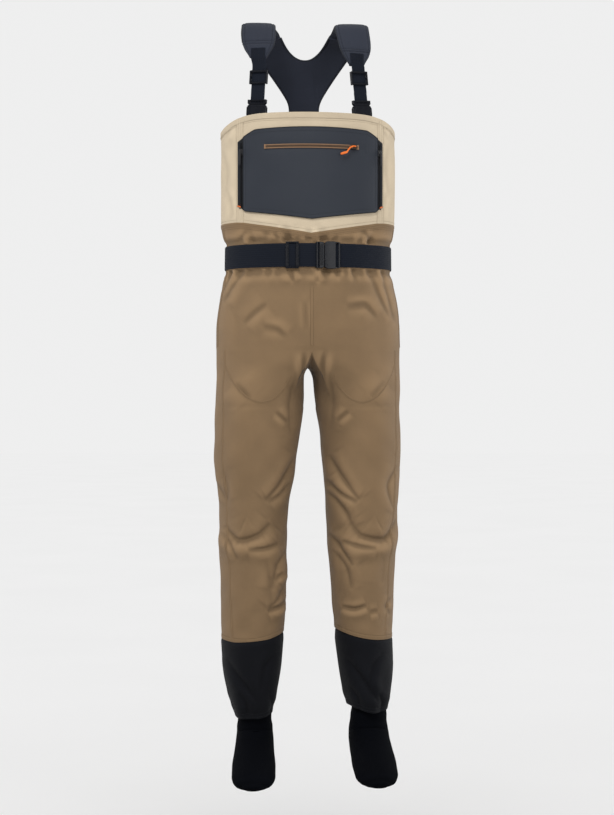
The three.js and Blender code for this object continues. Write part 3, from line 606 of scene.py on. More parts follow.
# ---- soft folds ------------------------------------------------------------------------------
def fold_height(x, z, line, width, depth, ridge=0.7):
    """How far a fold moves the cloth out: a groove along the line, a swell on its left."""
    line = np.asarray(line, float)
    length = np.concatenate([[0], np.cumsum(np.linalg.norm(np.diff(line, axis=0), axis=1))])
    fine = np.linspace(0, length[-1], 13)
    px = smooth_curve(length, line[:, 0], fine)
    pz = smooth_curve(length, line[:, 1], fine)
    best = np.full(np.shape(x), 1e9)
    signed = np.zeros(np.shape(x))
    place = np.zeros(np.shape(x))
    for i in range(12):
        ax, az, bx, bz = px[i], pz[i], px[i + 1], pz[i + 1]
        dx, dz = bx - ax, bz - az
        size = dx * dx + dz * dz + 1e-9
        t = np.clip(((x - ax) * dx + (z - az) * dz) / size, 0, 1)
        ex, ez = x - ax - t * dx, z - az - t * dz
        d = np.hypot(ex, ez)
        near = d < best
        best = np.where(near, d, best)
        signed = np.where(near, np.where(dx * ez - dz * ex > 0, d, -d), signed)
        place = np.where(near, (fine[i] + t * (fine[i + 1] - fine[i])) / length[-1], place)
    taper = np.sin(np.pi * np.clip(place, 0.001, 0.999)) ** 0.6
    end = np.exp(-np.maximum(best - np.abs(signed), 0) / width)
    groove = -np.exp(-(np.abs(signed) / (0.72 * width)) ** 1.5)
    swell = ridge * np.exp(-((signed - 1.7 * width) / (1.5 * width)) ** 2)
    swell = swell + 0.35 * np.exp(-((signed + 2.0 * width) / (1.5 * width)) ** 2)
    return depth * taper * end * (groove + swell)


BODY_FOLDS_FRONT = [  # line of (x, height), width, depth
    ([(-92, -424), (-60, -432), (-44, -444)], 5, 2.2),
    ([(-40, -424), (-34, -440)], 6, 2.4),
    ([(60, -430), (48, -445)], 6, 1.8),
    ([(-120, -420), (-138, -444)], 6, 1.8),
    ([(112, -416), (128, -444)], 6, 1.6),
    ([(-35, -498), (-30, -522)], 6, 2.6),
    ([(17, -497), (20, -524)], 7, 2.8),
    ([(57, -497), (60, -514)], 6, 2.2),
    ([(128, -500), (142, -540), (166, -588)], 8, 2.6),
    ([(148, -502), (168, -560), (180, -600)], 7, 2.4),
    ([(-128, -500), (-148, -528), (-166, -560)], 8, 2.4),
    ([(-150, -500), (-168, -540)], 6, 2.0),
    ([(76, -572), (112, -568), (140, -592)], 8, 2.0),
    ([(-82, -566), (-104, -582), (-128, -604)], 9, 2.0),
    ([(-90, -612), (-62, -618), (-44, -632)], 8, 1.6),
    ([(-6, -560), (-4, -620)], 5, 0.9),
]
BODY_FOLDS_BACK = [
    ([(-70, -498), (-58, -530)], 7, 2.6), ([(60, -498), (50, -532)], 7, 2.6),
    ([(0, -500), (4, -526)], 6, 2.0), ([(-120, -500), (-140, -560)], 8, 2.4),
    ([(120, -500), (142, -556)], 8, 2.4), ([(-96, -590), (-50, -620), (-14, -632)], 10, 2.6),
    ([(96, -594), (50, -622), (14, -634)], 10, 2.6), ([(-40, -420), (-30, -444)], 6, 2.2),
    ([(64, -418), (56, -444)], 6, 2.2), ([(-110, -424), (-96, -444)], 6, 2.0),
    ([(-60, -250), (-30, -290), (-22, -340)], 10, 1.8), ([(66, -244), (38, -292), (30, -344)], 10, 1.8),
    ([(-130, -300), (-118, -380)], 10, 1.6), ([(132, -290), (120, -372)], 10, 1.6),
]
BIB_FOLDS_FRONT = [
    ([(-168, -250), (-160, -300), (-164, -352)], 8, 1.8),
    ([(166, -240), (160, -292), (166, -350)], 8, 1.6),
    ([(-160, -330), (-150, -380), (-154, -400)], 6, 1.2),
    ([(160, -336), (152, -384), (158, -400)], 6, 1.2),
    ([(-120, -408), (-60, -416)], 6, 0.8),
    ([(150, -206), (162, -226)], 6, 1.2), ([(-150, -206), (-163, -228)], 6, 1.2),
]
PUCKERS = [(rng.uniform(-0.5, 0.5), rng.uniform(5, 11), rng.uniform(0.8, 2.6), rng.choice((-1, 1)))
           for _ in range(64)]


def hem_height(f):
    return BIB_TOP - BIB_SIDE_DIP * (np.sin(2 * np.pi * f) ** 2) ** 4.6


def seam_height(f):
    g = (f + 0.5) % 1 - 0.5
    return BIB_SEAM - BIB_SEAM_V * np.clip(1 - np.abs(g) / FRONT_EDGE, 0, None)


def body_relief(z, f):
    """How far the cloth of the body stands out from its plain oval."""
    g = (f + 0.5) % 1 - 0.5
    s = g * 960
    flat = body_point(z, f * girth(z))
    front = flat[..., 1] < 0
    away = np.abs(z - BELT_Z)
    cover = 4.3 * (1 - smoothstep(away, BELT_HALF - 2, BELT_HALF + 9))
    out = cover + 1.6 * np.exp(-((away - 40) / 13) ** 2)
    for at, width, size, up in PUCKERS:
        d = (s - at * 960 + 480) % 960 - 480
        reach = np.exp(-((away - 27) / (9 + 5 * size)) ** 2) * ((z - BELT_Z) * up > 0)
        reach = reach * smoothstep(away, BELT_HALF - 1, BELT_HALF + 5) * 1.35
        out = out + reach * size * (np.exp(-(d / width) ** 2) - 1.15 * np.exp(-((d - 1.7 * width) / width) ** 2))
    clear = smoothstep(away, BELT_HALF - 1, BELT_HALF + 5)
    for folds, mask in ((BODY_FOLDS_FRONT + BIB_FOLDS_FRONT, front), (BODY_FOLDS_BACK, ~front)):
        for line, width, depth in folds:
            out = out + mask * clear * fold_height(flat[..., 0] + 7 * front, z, line, width, depth)
    soft = (1.1 * np.sin(s / 47 + z / 61) * np.sin(z / 53 - s / 90)
            + 0.7 * np.sin(s / 23 - z / 37 + 1) * np.sin(z / 31 + 2))
    calm = smoothstep(-z, 190, 230)
    out = out + 0.8 * soft * calm * smoothstep(away, 16, 34)
    way = np.abs(g * girth(z))
    pinned = (1 - smoothstep(np.abs(g * girth(z) + 14), 76, 92)) * (1 - smoothstep(away, 29, 36))
    out = np.where(out > 3.4, out + pinned * (3.4 - out), out)
    zipped = smoothstep(way, 126, 135) * (1 - smoothstep(way, 155, 166)) * smoothstep(-z, 226, 242)
    return out * (1 - 0.85 * zipped * (1 - smoothstep(-z, 380, 396)))


def body_surface(z, f, off=0.0):
    z, f = np.broadcast_arrays(np.asarray(z, float), np.asarray(f, float))
    return body_point(z, f * girth(z), body_relief(z, f) + off)


def panel_points(f0, f1, top, bottom, columns, rows, off=0.0):
    f = np.linspace(f0, f1, columns)[None]
    v = np.linspace(0, 1, rows)[:, None]
    z = top(f) * (1 - v) + bottom(f) * v
    return body_surface(z, f, off)


def painted_bend_light_of(P, closed=False):
    """Painted light from the bend of the cloth: ridges are positive (painted highlight) and hollows negative (painted
    shade).
    """
    N = grid_normals(P, closed)
    if closed:
        side = (np.roll(P, 3, 1) + np.roll(P, -3, 1)) / 2 - P
    else:
        pad = np.pad(P, ((0, 0), (3, 3), (0, 0)), mode="edge")
        side = (pad[:, :-6] + pad[:, 6:]) / 2 - P
        side[:, :3] = side[:, -3:] = 0
    pad = np.pad(P, ((3, 3), (0, 0), (0, 0)), mode="edge")
    up = (pad[:-6] + pad[6:]) / 2 - P
    up[:3] = up[-3:] = 0
    bend = -((side + up) * N).sum(-1)
    bend = bend - np.median(bend)
    return np.clip(bend / 1.6, -1, 1)


def line_on(P, N, row=None, column=None, lift=0.0):
    pick = (slice(None), column) if row is None else (row, slice(None))
    return P[pick] + N[pick] * lift, N[pick]


BIB_ROWS, BIB_THICK = 60, 1.6
CLOTH = 1.2


def make_bib():
    panels = [
        ("bib_front", -FRONT_EDGE, FRONT_EDGE, 110), ("bib_side_left", FRONT_EDGE, 0.5 - FRONT_EDGE, 58),
        ("bib_back", 0.5 - FRONT_EDGE, 0.5 + FRONT_EDGE, 110),
        ("bib_side_right", 0.5 + FRONT_EDGE, 1 - FRONT_EDGE, 58),
    ]
    for name, f0, f1, columns in panels:
        P = panel_points(f0, f1, hem_height, seam_height, columns, BIB_ROWS)
        N = grid_normals(P, False)
        b = Builder()
        b.grid(P, thick=BIB_THICK, kind=0, inner_kind=1, painted_bend_light=painted_bend_light_of(P))
        # the hem is folded over and stitched
        near = lambda row: (P[row] + N[row] * 0.1, N[row])
        hem = (P[0] * 0.5 + P[1] * 0.5)
        b.ribbon(P[2] * 0.6 + P[1] * 0.4, N[1], 12.5, 0.55, kind=2)
        for row in (3, 4):
            line, n = near(row)
            b.stitches(line, n, pitch=3.6, length=2.5, radius=0.3, kind=3, lift=0.75 if row == 3 else 0.1)
        # the lap over the seam at each side
        for column, inward in ((0, 1), (-1, -1)):
            for k in (1, 3):
                c = column + inward * k if column == 0 else column - k
                line, n = line_on(P, N, column=c, lift=0.1)
                if k == 1:
                    b.ribbon(line, n, 7.5, 0.45, kind=0)
                b.stitches(line, n, pitch=3.6, length=2.5, radius=0.28, kind=3, lift=0.5 if k == 1 else 0.05)
        line, n = P[-2] * 0.4 + P[-3] * 0.6, N[-3]
        b.stitches(line, n, pitch=3.6, length=2.5, radius=0.3, kind=3, lift=0.2)
        obj = b.build(name + "_cloth", [mat["bib"], mat["bib_lining"], mat["bib_edge"], mat["bib_thread"]])
        dress(obj, "shell", "bib", [name])


COLUMNS = 300
TROUSER_ROWS = 64


def make_trousers():
    split = lambda f: SPLIT + 0 * f
    for name, f0, f1 in (("trouser_front", -SIDE_SEAM, SIDE_SEAM), ("trouser_back", SIDE_SEAM, 1 - SIDE_SEAM)):
        columns = int(round((f1 - f0) * COLUMNS)) + 1
        P = panel_points(f0, f1, seam_height, split, columns, TROUSER_ROWS)
        N = grid_normals(P, False)
        b = Builder()
        b.grid(P, thick=CLOTH, kind=0, inner_kind=1, painted_bend_light=painted_bend_light_of(P))
        # the felled seam to the bib, the side seams and the centre seam
        b.ribbon(P[1], N[1], 9, 0.6, kind=0)
        for lift_at, row in ((0.65, 1), (0.1, 3)):
            b.stitches(P[row], N[row], pitch=3.6, length=2.5, radius=0.3, kind=2, lift=lift_at)
        for column in (1, columns - 2):
            line, n = line_on(P, N, column=column, lift=0.1)
            b.ribbon(line[2:], n[2:], 7, 0.45, kind=0)
            b.stitches(line[2:], n[2:], pitch=3.6, length=2.5, radius=0.28, kind=2, lift=0.5)
        middle = columns // 2
        start = 12 if name == "trouser_back" else 30
        line, n = line_on(P, N, column=middle, lift=0.1)
        b.ribbon(line[start:], n[start:], 6, 0.4, kind=0)
        for shift in (-1, 1):
            line, n = line_on(P, N, column=middle + shift, lift=0.1)
            b.stitches(line[start:], n[start:], pitch=3.6, length=2.5, radius=0.26, kind=2, lift=0.15)
        obj = b.build(name + "_cloth", [mat["shell"], mat["shell_lining"], mat["shell_thread"]])
        dress(obj, "shell", "shell", [name])


# ---- legs ------------------------------------------------------------------------------------
SADDLE = 78
LEG_FOLDS = {  # per side, front then back: line of (x outward, height), width, depth
    "left": (
        [
            ([(28, -640), (22, -690), (30, -730)], 7, 3.0),
            ([(36, -700), (44, -770), (40, -820)], 9, 2.2),
            ([(75, -780), (52, -800)], 6, 2.0),
            ([(38, -868), (62, -910), (98, -958)], 9, 5.0),
            ([(36, -918), (64, -946), (94, -962)], 8, 4.5),
            ([(176, -892), (158, -934), (168, -978)], 8, 3.4),
            ([(180, -1000), (146, -1040), (104, -1032), (78, -1004)], 11, 8.0),
            ([(134, -1056), (104, -1052), (66, -1040)], 8, 4.2),
            ([(42, -1028), (66, -1058), (88, -1092)], 9, 5.0),
            ([(48, -1060), (74, -1096), (84, -1140)], 9, 3.4),
            ([(114, -1172), (88, -1180), (66, -1176)], 6, 5.0),
            ([(138, -1184), (120, -1186)], 6, 2.0),
            ([(166, -1158), (156, -1176), (168, -1196)], 6, 2.6),
            ([(150, -720), (120, -752)], 12, 1.4),
            ([(33, -940), (50, -956), (74, -988), (84, -1012)], 9, 4.6),
            ([(56, -1168), (64, -1120), (60, -1062)], 16, 3.0),
            ([(146, -1130), (150, -1090), (142, -1062)], 16, 2.0),
        ],
        [
            ([(60, -1010), (100, -1030), (150, -1012)], 9, 5.5),
            ([(66, -986), (110, -974), (156, -990)], 9, 4.5),
            ([(56, -1040), (96, -1062), (140, -1050)], 9, 4.0),
            ([(30, -690), (80, -720), (140, -716)], 12, 4.0),
            ([(40, -740), (80, -766), (130, -770)], 12, 3.0),
            ([(70, -1120), (110, -1150), (146, -1140)], 9, 2.8),
            ([(66, -1196), (104, -1208), (140, -1198)], 8, 2.8),
            ([(54, -900), (84, -930), (130, -936)], 11, 3.0),
        ],
    ),
    "right": (
        [
            ([(14, -640), (16, -690), (26, -736)], 7, 3.0),
            ([(30, -700), (42, -780), (40, -830)], 9, 2.2),
            ([(70, -782), (46, -802)], 6, 1.8),
            ([(28, -868), (52, -914), (92, -960)], 9, 4.6),
            ([(40, -924), (64, -950), (86, -962)], 8, 3.0),
            ([(176, -900), (166, -940), (172, -976)], 8, 2.6),
            ([(172, -1010), (142, -1040), (106, -1030), (80, -1004)], 11, 7.4),
            ([(126, -1058), (96, -1056), (64, -1048)], 8, 4.0),
            ([(176, -1024), (158, -1048), (146, -1080)], 8, 3.2),
            ([(46, -1060), (66, -1092), (76, -1140)], 10, 4.2),
            ([(48, -1120), (64, -1160), (84, -1180)], 9, 3.6),
            ([(86, -1184), (60, -1176), (46, -1164)], 7, 4.4),
            ([(150, -724), (122, -756)], 12, 1.4),
            ([(78, -1180), (80, -1130), (90, -1074)], 16, 3.4),
            ([(70, -1123), (56, -1106)], 6, 2.4),
            ([(187, -922), (176, -944), (170, -962)], 7, 3.0),
        ],
        [
            ([(58, -1004), (98, -1026), (148, -1010)], 9, 5.5),
            ([(64, -980), (112, -970), (158, -988)], 9, 4.5),
            ([(60, -1044), (96, -1064), (142, -1048)], 9, 4.0),
            ([(28, -694), (76, -724), (138, -720)], 12, 4.0),
            ([(40, -744), (84, -770), (134, -768)], 12, 3.0),
            ([(72, -1124), (110, -1148), (148, -1136)], 9, 2.8),
            ([(64, -1190), (100, -1206), (142, -1196)], 8, 2.8),
            ([(54, -904), (88, -932), (132, -934)], 11, 3.0),
        ],
    ),
}
JOIN = -760  # the legs are plain ovals below this height
JOIN_ROWS = 30
LEG_ROWS = 200


HEM_RISE = {"left": (4, 8, 24), "right": (4, 2, 18)}  # outside, front, inside


def leg_hem(side, angle):
    """Height of the leg hem; angle is 0 outside and rises towards the back."""
    outside, front, inside = HEM_RISE[side]
    back = (outside + inside) / 2
    c, s = np.cos(angle), np.sin(angle)
    return LEG_HEM + (outside + inside) / 2 + (outside - inside) / 2 * c + np.where(
        s < 0, (front - (outside + inside) / 2) * s**2, (back - (outside + inside) / 2) * s**2)


def leg_points(side):
    """Rows of points round one leg, from the body down to the hem; +x is outward."""
    rows = np.array(sorted(LEG[side]), float)
    at = lambda z: [smooth_curve(rows[:, 0], rows[:, k], z) for k in range(1, 5)]
    k = dict(SIDES)[side]
    f = np.arange(COLUMNS // 2 + 1) / COLUMNS
    outer = body_surface(np.full(f.shape, float(SPLIT)), f * k)
    outer[:, 0] *= k
    depth = np.abs(outer[0, 1]), np.abs(outer[-1, 1])
    t = np.linspace(0, np.pi, SADDLE + 2)[1:-1]
    power = 2 / 2.5
    cosine = np.cos(t)
    y = np.sign(cosine) * np.abs(cosine) ** power
    y = np.where(y > 0, y * depth[1], y * depth[0])
    z = SPLIT + (CROTCH - SPLIT) * np.sin(t) ** power
    saddle = np.stack([0 * t, y, z], -1)
    top = np.concatenate([outer, saddle])
    m = len(top)
    cx, w, cy, d = at(np.array(-699.0))
    theta = np.unwrap(np.arctan2((top[:, 1] - cy) / d, (top[:, 0] - cx) / w))
    even = np.arange(m) / m * 2 * np.pi
    even = even + np.mean(theta - even)

    def ring(z, th):
        cx, w, cy, d = at(z)
        return np.stack([cx + w * np.cos(th), cy + d * np.sin(th), z + 0 * th], -1)

    weight = np.concatenate([0 * f, np.sin(t) ** 0.7])
    rows_out = []
    foot = ring(np.full(m, float(JOIN)), theta)
    step = ring(np.full(m, JOIN - 4.0), theta) - foot
    drop = (top[:, 2] - JOIN)[:, None]
    m0 = (1 - weight)[:, None] * np.array([0, 0, -1.0]) * drop + weight[:, None] * np.array([1, 0, -0.25]) * 46
    m1 = step / 4.0 * drop
    for v in np.linspace(0, 1, JOIN_ROWS, endpoint=False):
        h = (2 * v**3 - 3 * v**2 + 1, v**3 - 2 * v**2 + v, -2 * v**3 + 3 * v**2, v**3 - v**2)
        rows_out.append(h[0] * top + h[1] * m0 + h[2] * foot + h[3] * m1)
    hem = leg_hem(side, even)
    for v in np.linspace(0, 1, LEG_ROWS):
        z = JOIN + (hem - JOIN) * v
        share = smoothstep(v, 0, 0.2)
        rows_out.append(ring(z, theta * (1 - share) + even * share))
    P = np.array(rows_out)
    for _ in range(30):  # ease the cloth round the crotch
        inner = P[1:JOIN_ROWS + 6]
        mean = (P[:JOIN_ROWS + 5] + P[2:JOIN_ROWS + 7] + np.roll(inner, 1, 1) + np.roll(inner, -1, 1)) / 4
        P[1:JOIN_ROWS + 6] = inner * 0.5 + mean * 0.5
    return P


def leg_relief(side, P):
    """The leg's folds, as a distance out along the cloth's normal."""
    x, z = P[..., 0], P[..., 2]
    N = grid_normals(P, True)
    front = smoothstep(-N[..., 1], -0.15, 0.25)
    back = smoothstep(N[..., 1], -0.15, 0.25)
    out = np.zeros(x.shape)
    for folds, mask in zip(LEG_FOLDS[side], (front, back)):
        for line, width, depth in folds:
            out = out + mask * fold_height(x, z, line, width, depth)
    k = 1 if side == "left" else -1
    turn = np.arctan2(P[..., 1], x - 110)
    soft = (1.3 * np.sin(2 * turn + z / 41 + k) * np.sin(z / 57 + 1.3 * k)
            + 0.8 * np.sin(5 * turn - z / 29) * np.sin(z / 35 + k)
            + 0.5 * np.sin(7 * turn + z / 19 + 2 * k) * np.sin(z / 23 - k))
    near_hem = 1 - smoothstep(np.arange(P.shape[0])[:, None], P.shape[0] - 14, P.shape[0] - 3)
    calm = smoothstep(-z, 655, 720) * near_hem
    begin = smoothstep(np.arange(P.shape[0])[:, None], 0, 12)
    return begin * (out * near_hem + soft * calm), N


def make_leg(side, k):
    P = leg_points(side)
    out, N = leg_relief(side, P)
    sign = -1 if (N[60, :, 0] * (P[60, :, 0] - 110)).mean() < 0 else 1
    P = P + N * sign * out[..., None]
    if k < 0:
        P = P[:, ::-1]
        P[..., 0] *= -1
    cut = int(np.argmin(np.abs(P[:, 0, 2] - LEG_CUT)))
    m = P.shape[1]
    N = grid_normals(P, True)
    flip = (N[60, :, 0] * (P[60, :, 0] - P[60, :, 0].mean())).mean() < 0
    if flip:
        N = -N
    painted_bend_light = painted_bend_light_of(P, True) * (-1 if flip else 1)
    uv = grid_uv(P, True)
    ends = np.arange(m)
    outermost = int(np.argmax(P[80, :, 0] * k))
    # the outer seam sits a little to the front of the outermost line
    seam_columns = []
    for row in range(P.shape[0]):
        turn = np.arctan2(-(P[row, :, 1]), P[row, :, 0] * k - 108)
        seam_columns.append(int(np.argmin(np.abs(turn - math.radians(38)))))
    seam_columns = smooth_columns(seam_columns)
    inner_columns = []
    for row in range(P.shape[0]):
        turn = np.arctan2(P[row, :, 1] - 6, 108 - P[row, :, 0] * k)
        inner_columns.append(int(np.argmin(np.abs(turn))))
    inner_columns = smooth_columns(inner_columns)

    def path(columns, rows):
        pts, nrm = [], []
        for row in rows:
            c = columns[row] % m
            lo = int(np.floor(c))
            t = c - lo
            pts.append(P[row, lo] * (1 - t) + P[row, (lo + 1) % m] * t)
            nrm.append(N[row, lo])
        return np.array(pts), np.array(nrm)

    for name, r0, r1, bodies, span in (
        ("upper", 0, cut, ("shell", f"thigh_{side}"), HIP_BLEND),
        ("lower", cut, P.shape[0] - 1, (f"thigh_{side}", f"shin_{side}"), KNEE_BLEND),
    ):
        b = Builder()
        part = P[r0:r1 + 1]
        b.grid(part, closed=True, thick=CLOTH, kind=0, inner_kind=1, uv=uv[r0:r1 + 1], painted_bend_light=painted_bend_light[r0:r1 + 1], flip=flip)
        start = r0 + 2 if name == "upper" else r0
        for columns in (seam_columns, inner_columns):
            pts, nrm = path(columns, range(max(start, 10 if columns is inner_columns else start), r1 + 1))
            b.ribbon(pts + nrm * 0.1, nrm, 7, 0.45, kind=0)
            b.stitches(pts + nrm * 0.1, nrm, pitch=3.6, length=2.5, radius=0.27, kind=2, lift=0.5)
        if name == "upper":
            pts, nrm = knee_seam(P, N, side, k)
            b.ribbon(pts + nrm * 0.1, nrm, 5, 0.4, kind=0)
            b.stitches(pts + nrm * 0.1, nrm, pitch=3.6, length=2.5, radius=0.26, kind=2, lift=0.45)
        else:
            last = P.shape[0] - 1
            for row, lift in ((last - 3, 0.15), (last - 1, 0.6)):
                ring = np.concatenate([P[row], P[row, :1]])
                nr = np.concatenate([N[row], N[row, :1]])
                if row == last - 1:
                    b.ribbon(ring + nr * 0.1, nr, 8, 0.5, kind=0)
                b.stitches(ring, nr, pitch=3.6, length=2.5, radius=0.3, kind=2, lift=lift)
        obj = b.build(f"leg_{name}_{side}_cloth", [mat["shell"], mat["shell_lining"], mat["shell_thread"]])
        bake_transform(obj)
        if name == "upper":
            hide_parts(f"hip_band_{side}", f"thigh_{side}")
        else:
            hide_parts(f"knee_band_{side}", f"shin_{side}")


def smooth_columns(columns):
    c = np.array(columns, float)
    for _ in range(30):
        c[1:-1] = (c[:-2] + 2 * c[1:-1] + c[2:]) / 4
    return c


def knee_seam(P, N, side, k):
    """The curved seam over the front of the thigh, above the knee."""
    u = np.linspace(-1, 1, 60)
    x = (108 + 62 * u) if side == "left" else (106 + 64 * u)
    z = -690 - 62 * (1 - u**2) ** 0.8 - 10 * (1 - u)
    flat = P.reshape(-1, 3)
    nf = N.reshape(-1, 3)
    front = flat[:, 1] < 20
    cand, cn = flat[front], nf[front]
    pts, nrm = [], []
    for a, h in zip(x * k, z):
        d = (cand[:, 0] - a) ** 2 + (cand[:, 2] - h) ** 2
        near = np.argsort(d)[:5]
        w = 1 / (d[near] + 0.5)
        w /= w.sum()
        p = (cand[near] * w[:, None]).sum(0)
        p[0], p[2] = a, h
        pts.append(p)
        nrm.append((cn[near] * w[:, None]).sum(0))
    pts, nrm = np.array(pts), np.array(nrm)
    for _ in range(6):
        pts[1:-1, 1] = (pts[:-2, 1] + 2 * pts[1:-1, 1] + pts[2:, 1]) / 4
    return pts, nrm / np.linalg.norm(nrm, axis=1)[:, None]


# ---- gravel guards and socks ---------------------------------------------------------------------
GUARD_FOLDS = {
    "left": [([(76, -1282), (104, -1318), (142, -1372)], 8, 4.4), ([(150, -1270), (128, -1300), (120, -1340)], 8, 3.0),
             ([(84, -1340), (100, -1368), (104, -1394)], 7, 3.2), ([(140, -1352), (150, -1376), (146, -1396)], 6, 2.6)],
    "right": [([(168, -1280), (140, -1322), (104, -1368)], 8, 4.2), ([(70, -1272), (92, -1300), (98, -1342)], 8, 3.0),
              ([(142, -1346), (128, -1374), (126, -1400)], 7, 3.4), ([(82, -1350), (76, -1378), (84, -1402)], 6, 2.6)],
}
GUARD_ROWS, GUARD_COLUMNS = 84, 180
GUARD_HEM = {"left": (-1386, -1391, -1377), "right": (-1401, -1402, -1389)}  # outside, front, inside


def make_guard(side, k):
    angle = np.arange(GUARD_COLUMNS) / GUARD_COLUMNS * 2 * np.pi
    v = np.linspace(0, 1, GUARD_ROWS)[:, None]
    outside, front_low, inside = GUARD_HEM[side]
    c, sn = np.cos(angle), np.sin(angle)
    low = (outside + inside) / 2 + (outside - inside) / 2 * c + (front_low - (outside + inside) / 2) * sn**2
    low = low + 1.6 * np.sin(3 * angle + k)
    hem = leg_hem(side, angle)
    top = hem + 16.0
    z = top * (1 - v) + low * v
    cx, w, cy, d = (smooth_curve(np.array(sorted(GUARD[side]))[:, 0], np.array(sorted(GUARD[side]))[:, i], z)
                    for i in range(1, 5))
    tuck = -4.6 + 4.2 * smoothstep(hem - z, -7, 9)
    fuller = 1.6 * np.sin(np.pi * np.clip((hem - z) / 150, 0, 1)) ** 1.2
    snug = -3.4 * smoothstep(v, 0.86, 1.0)
    grow = tuck + fuller + snug
    P = np.stack([cx + (w + grow) * np.cos(angle), cy + (d + grow) * np.sin(angle), z], -1)
    N = grid_normals(P, True)
    if (N[20, :, 0] * (P[20, :, 0] - P[20, :, 0].mean())).mean() < 0:
        N = -N
    front = smoothstep(-N[..., 1], -0.2, 0.3)
    out = np.zeros(P.shape[:2])
    for line, width, depth in GUARD_FOLDS[side]:
        out += front * fold_height(P[..., 0], P[..., 2], line, width, depth)
        mirrored = [(2 * 118 - x, z) for x, z in line]
        out += (1 - front) * fold_height(P[..., 0], P[..., 2], mirrored, width, 0.8 * depth)
    out += v**1.5 * (1.4 * np.sin(4 * angle + 2 * k) + 0.9 * np.sin(7 * angle - k))
    P = P + N * (out * smoothstep(v, 0.1, 0.28))[..., None]
    P[..., 0] *= k
    if k < 0:
        P = P[:, ::-1]
    N = grid_normals(P, True)
    flip = (N[20, :, 0] * (P[20, :, 0] - P[20, :, 0].mean())).mean() < 0
    if flip:
        N = -N
    b = Builder()
    b.grid(P, closed=True, thick=1.1, painted_bend_light=painted_bend_light_of(P, True) * (-1 if flip else 1), flip=flip)
    for row, lift in ((GUARD_ROWS - 2, 0.5), (GUARD_ROWS - 5, 0.1)):
        ring, nr = np.concatenate([P[row], P[row, :1]]), np.concatenate([N[row], N[row, :1]])
        if row == GUARD_ROWS - 2:
            b.ribbon(ring, nr, 9, 0.5, kind=0)
        b.stitches(ring, nr, pitch=3.8, length=2.6, radius=0.32, kind=1, lift=lift)
    for column in (int(np.argmax(P[20, :, 0] * k)),):
        line, n = line_on(P, N, column=column, lift=0.1)
        b.ribbon(line, n, 7, 0.5, kind=0)
        b.stitches(line, n, pitch=3.8, length=2.6, radius=0.3, kind=1, lift=0.55)
    obj = b.build(f"gravel_guard_{side}_cloth", [mat["guard"], mat["dark_thread"]])
    dress(obj, f"shin_{side}", "guard", [f"gravel_guard_{side}"])


SOCK_TOP, SOCK_X = -1252, {"left": (115, 124.5, 129), "right": (114, 109, 118)}
SOCK_FORM = {"left": (1.09, 0.94, 4), "right": (1.0, 0.98, 1.5)}  # ankle and toe width, lift of the toe
NEOPRENE = 4.0
SOCK_COLUMNS, SOCK_ROWS = 112, 120


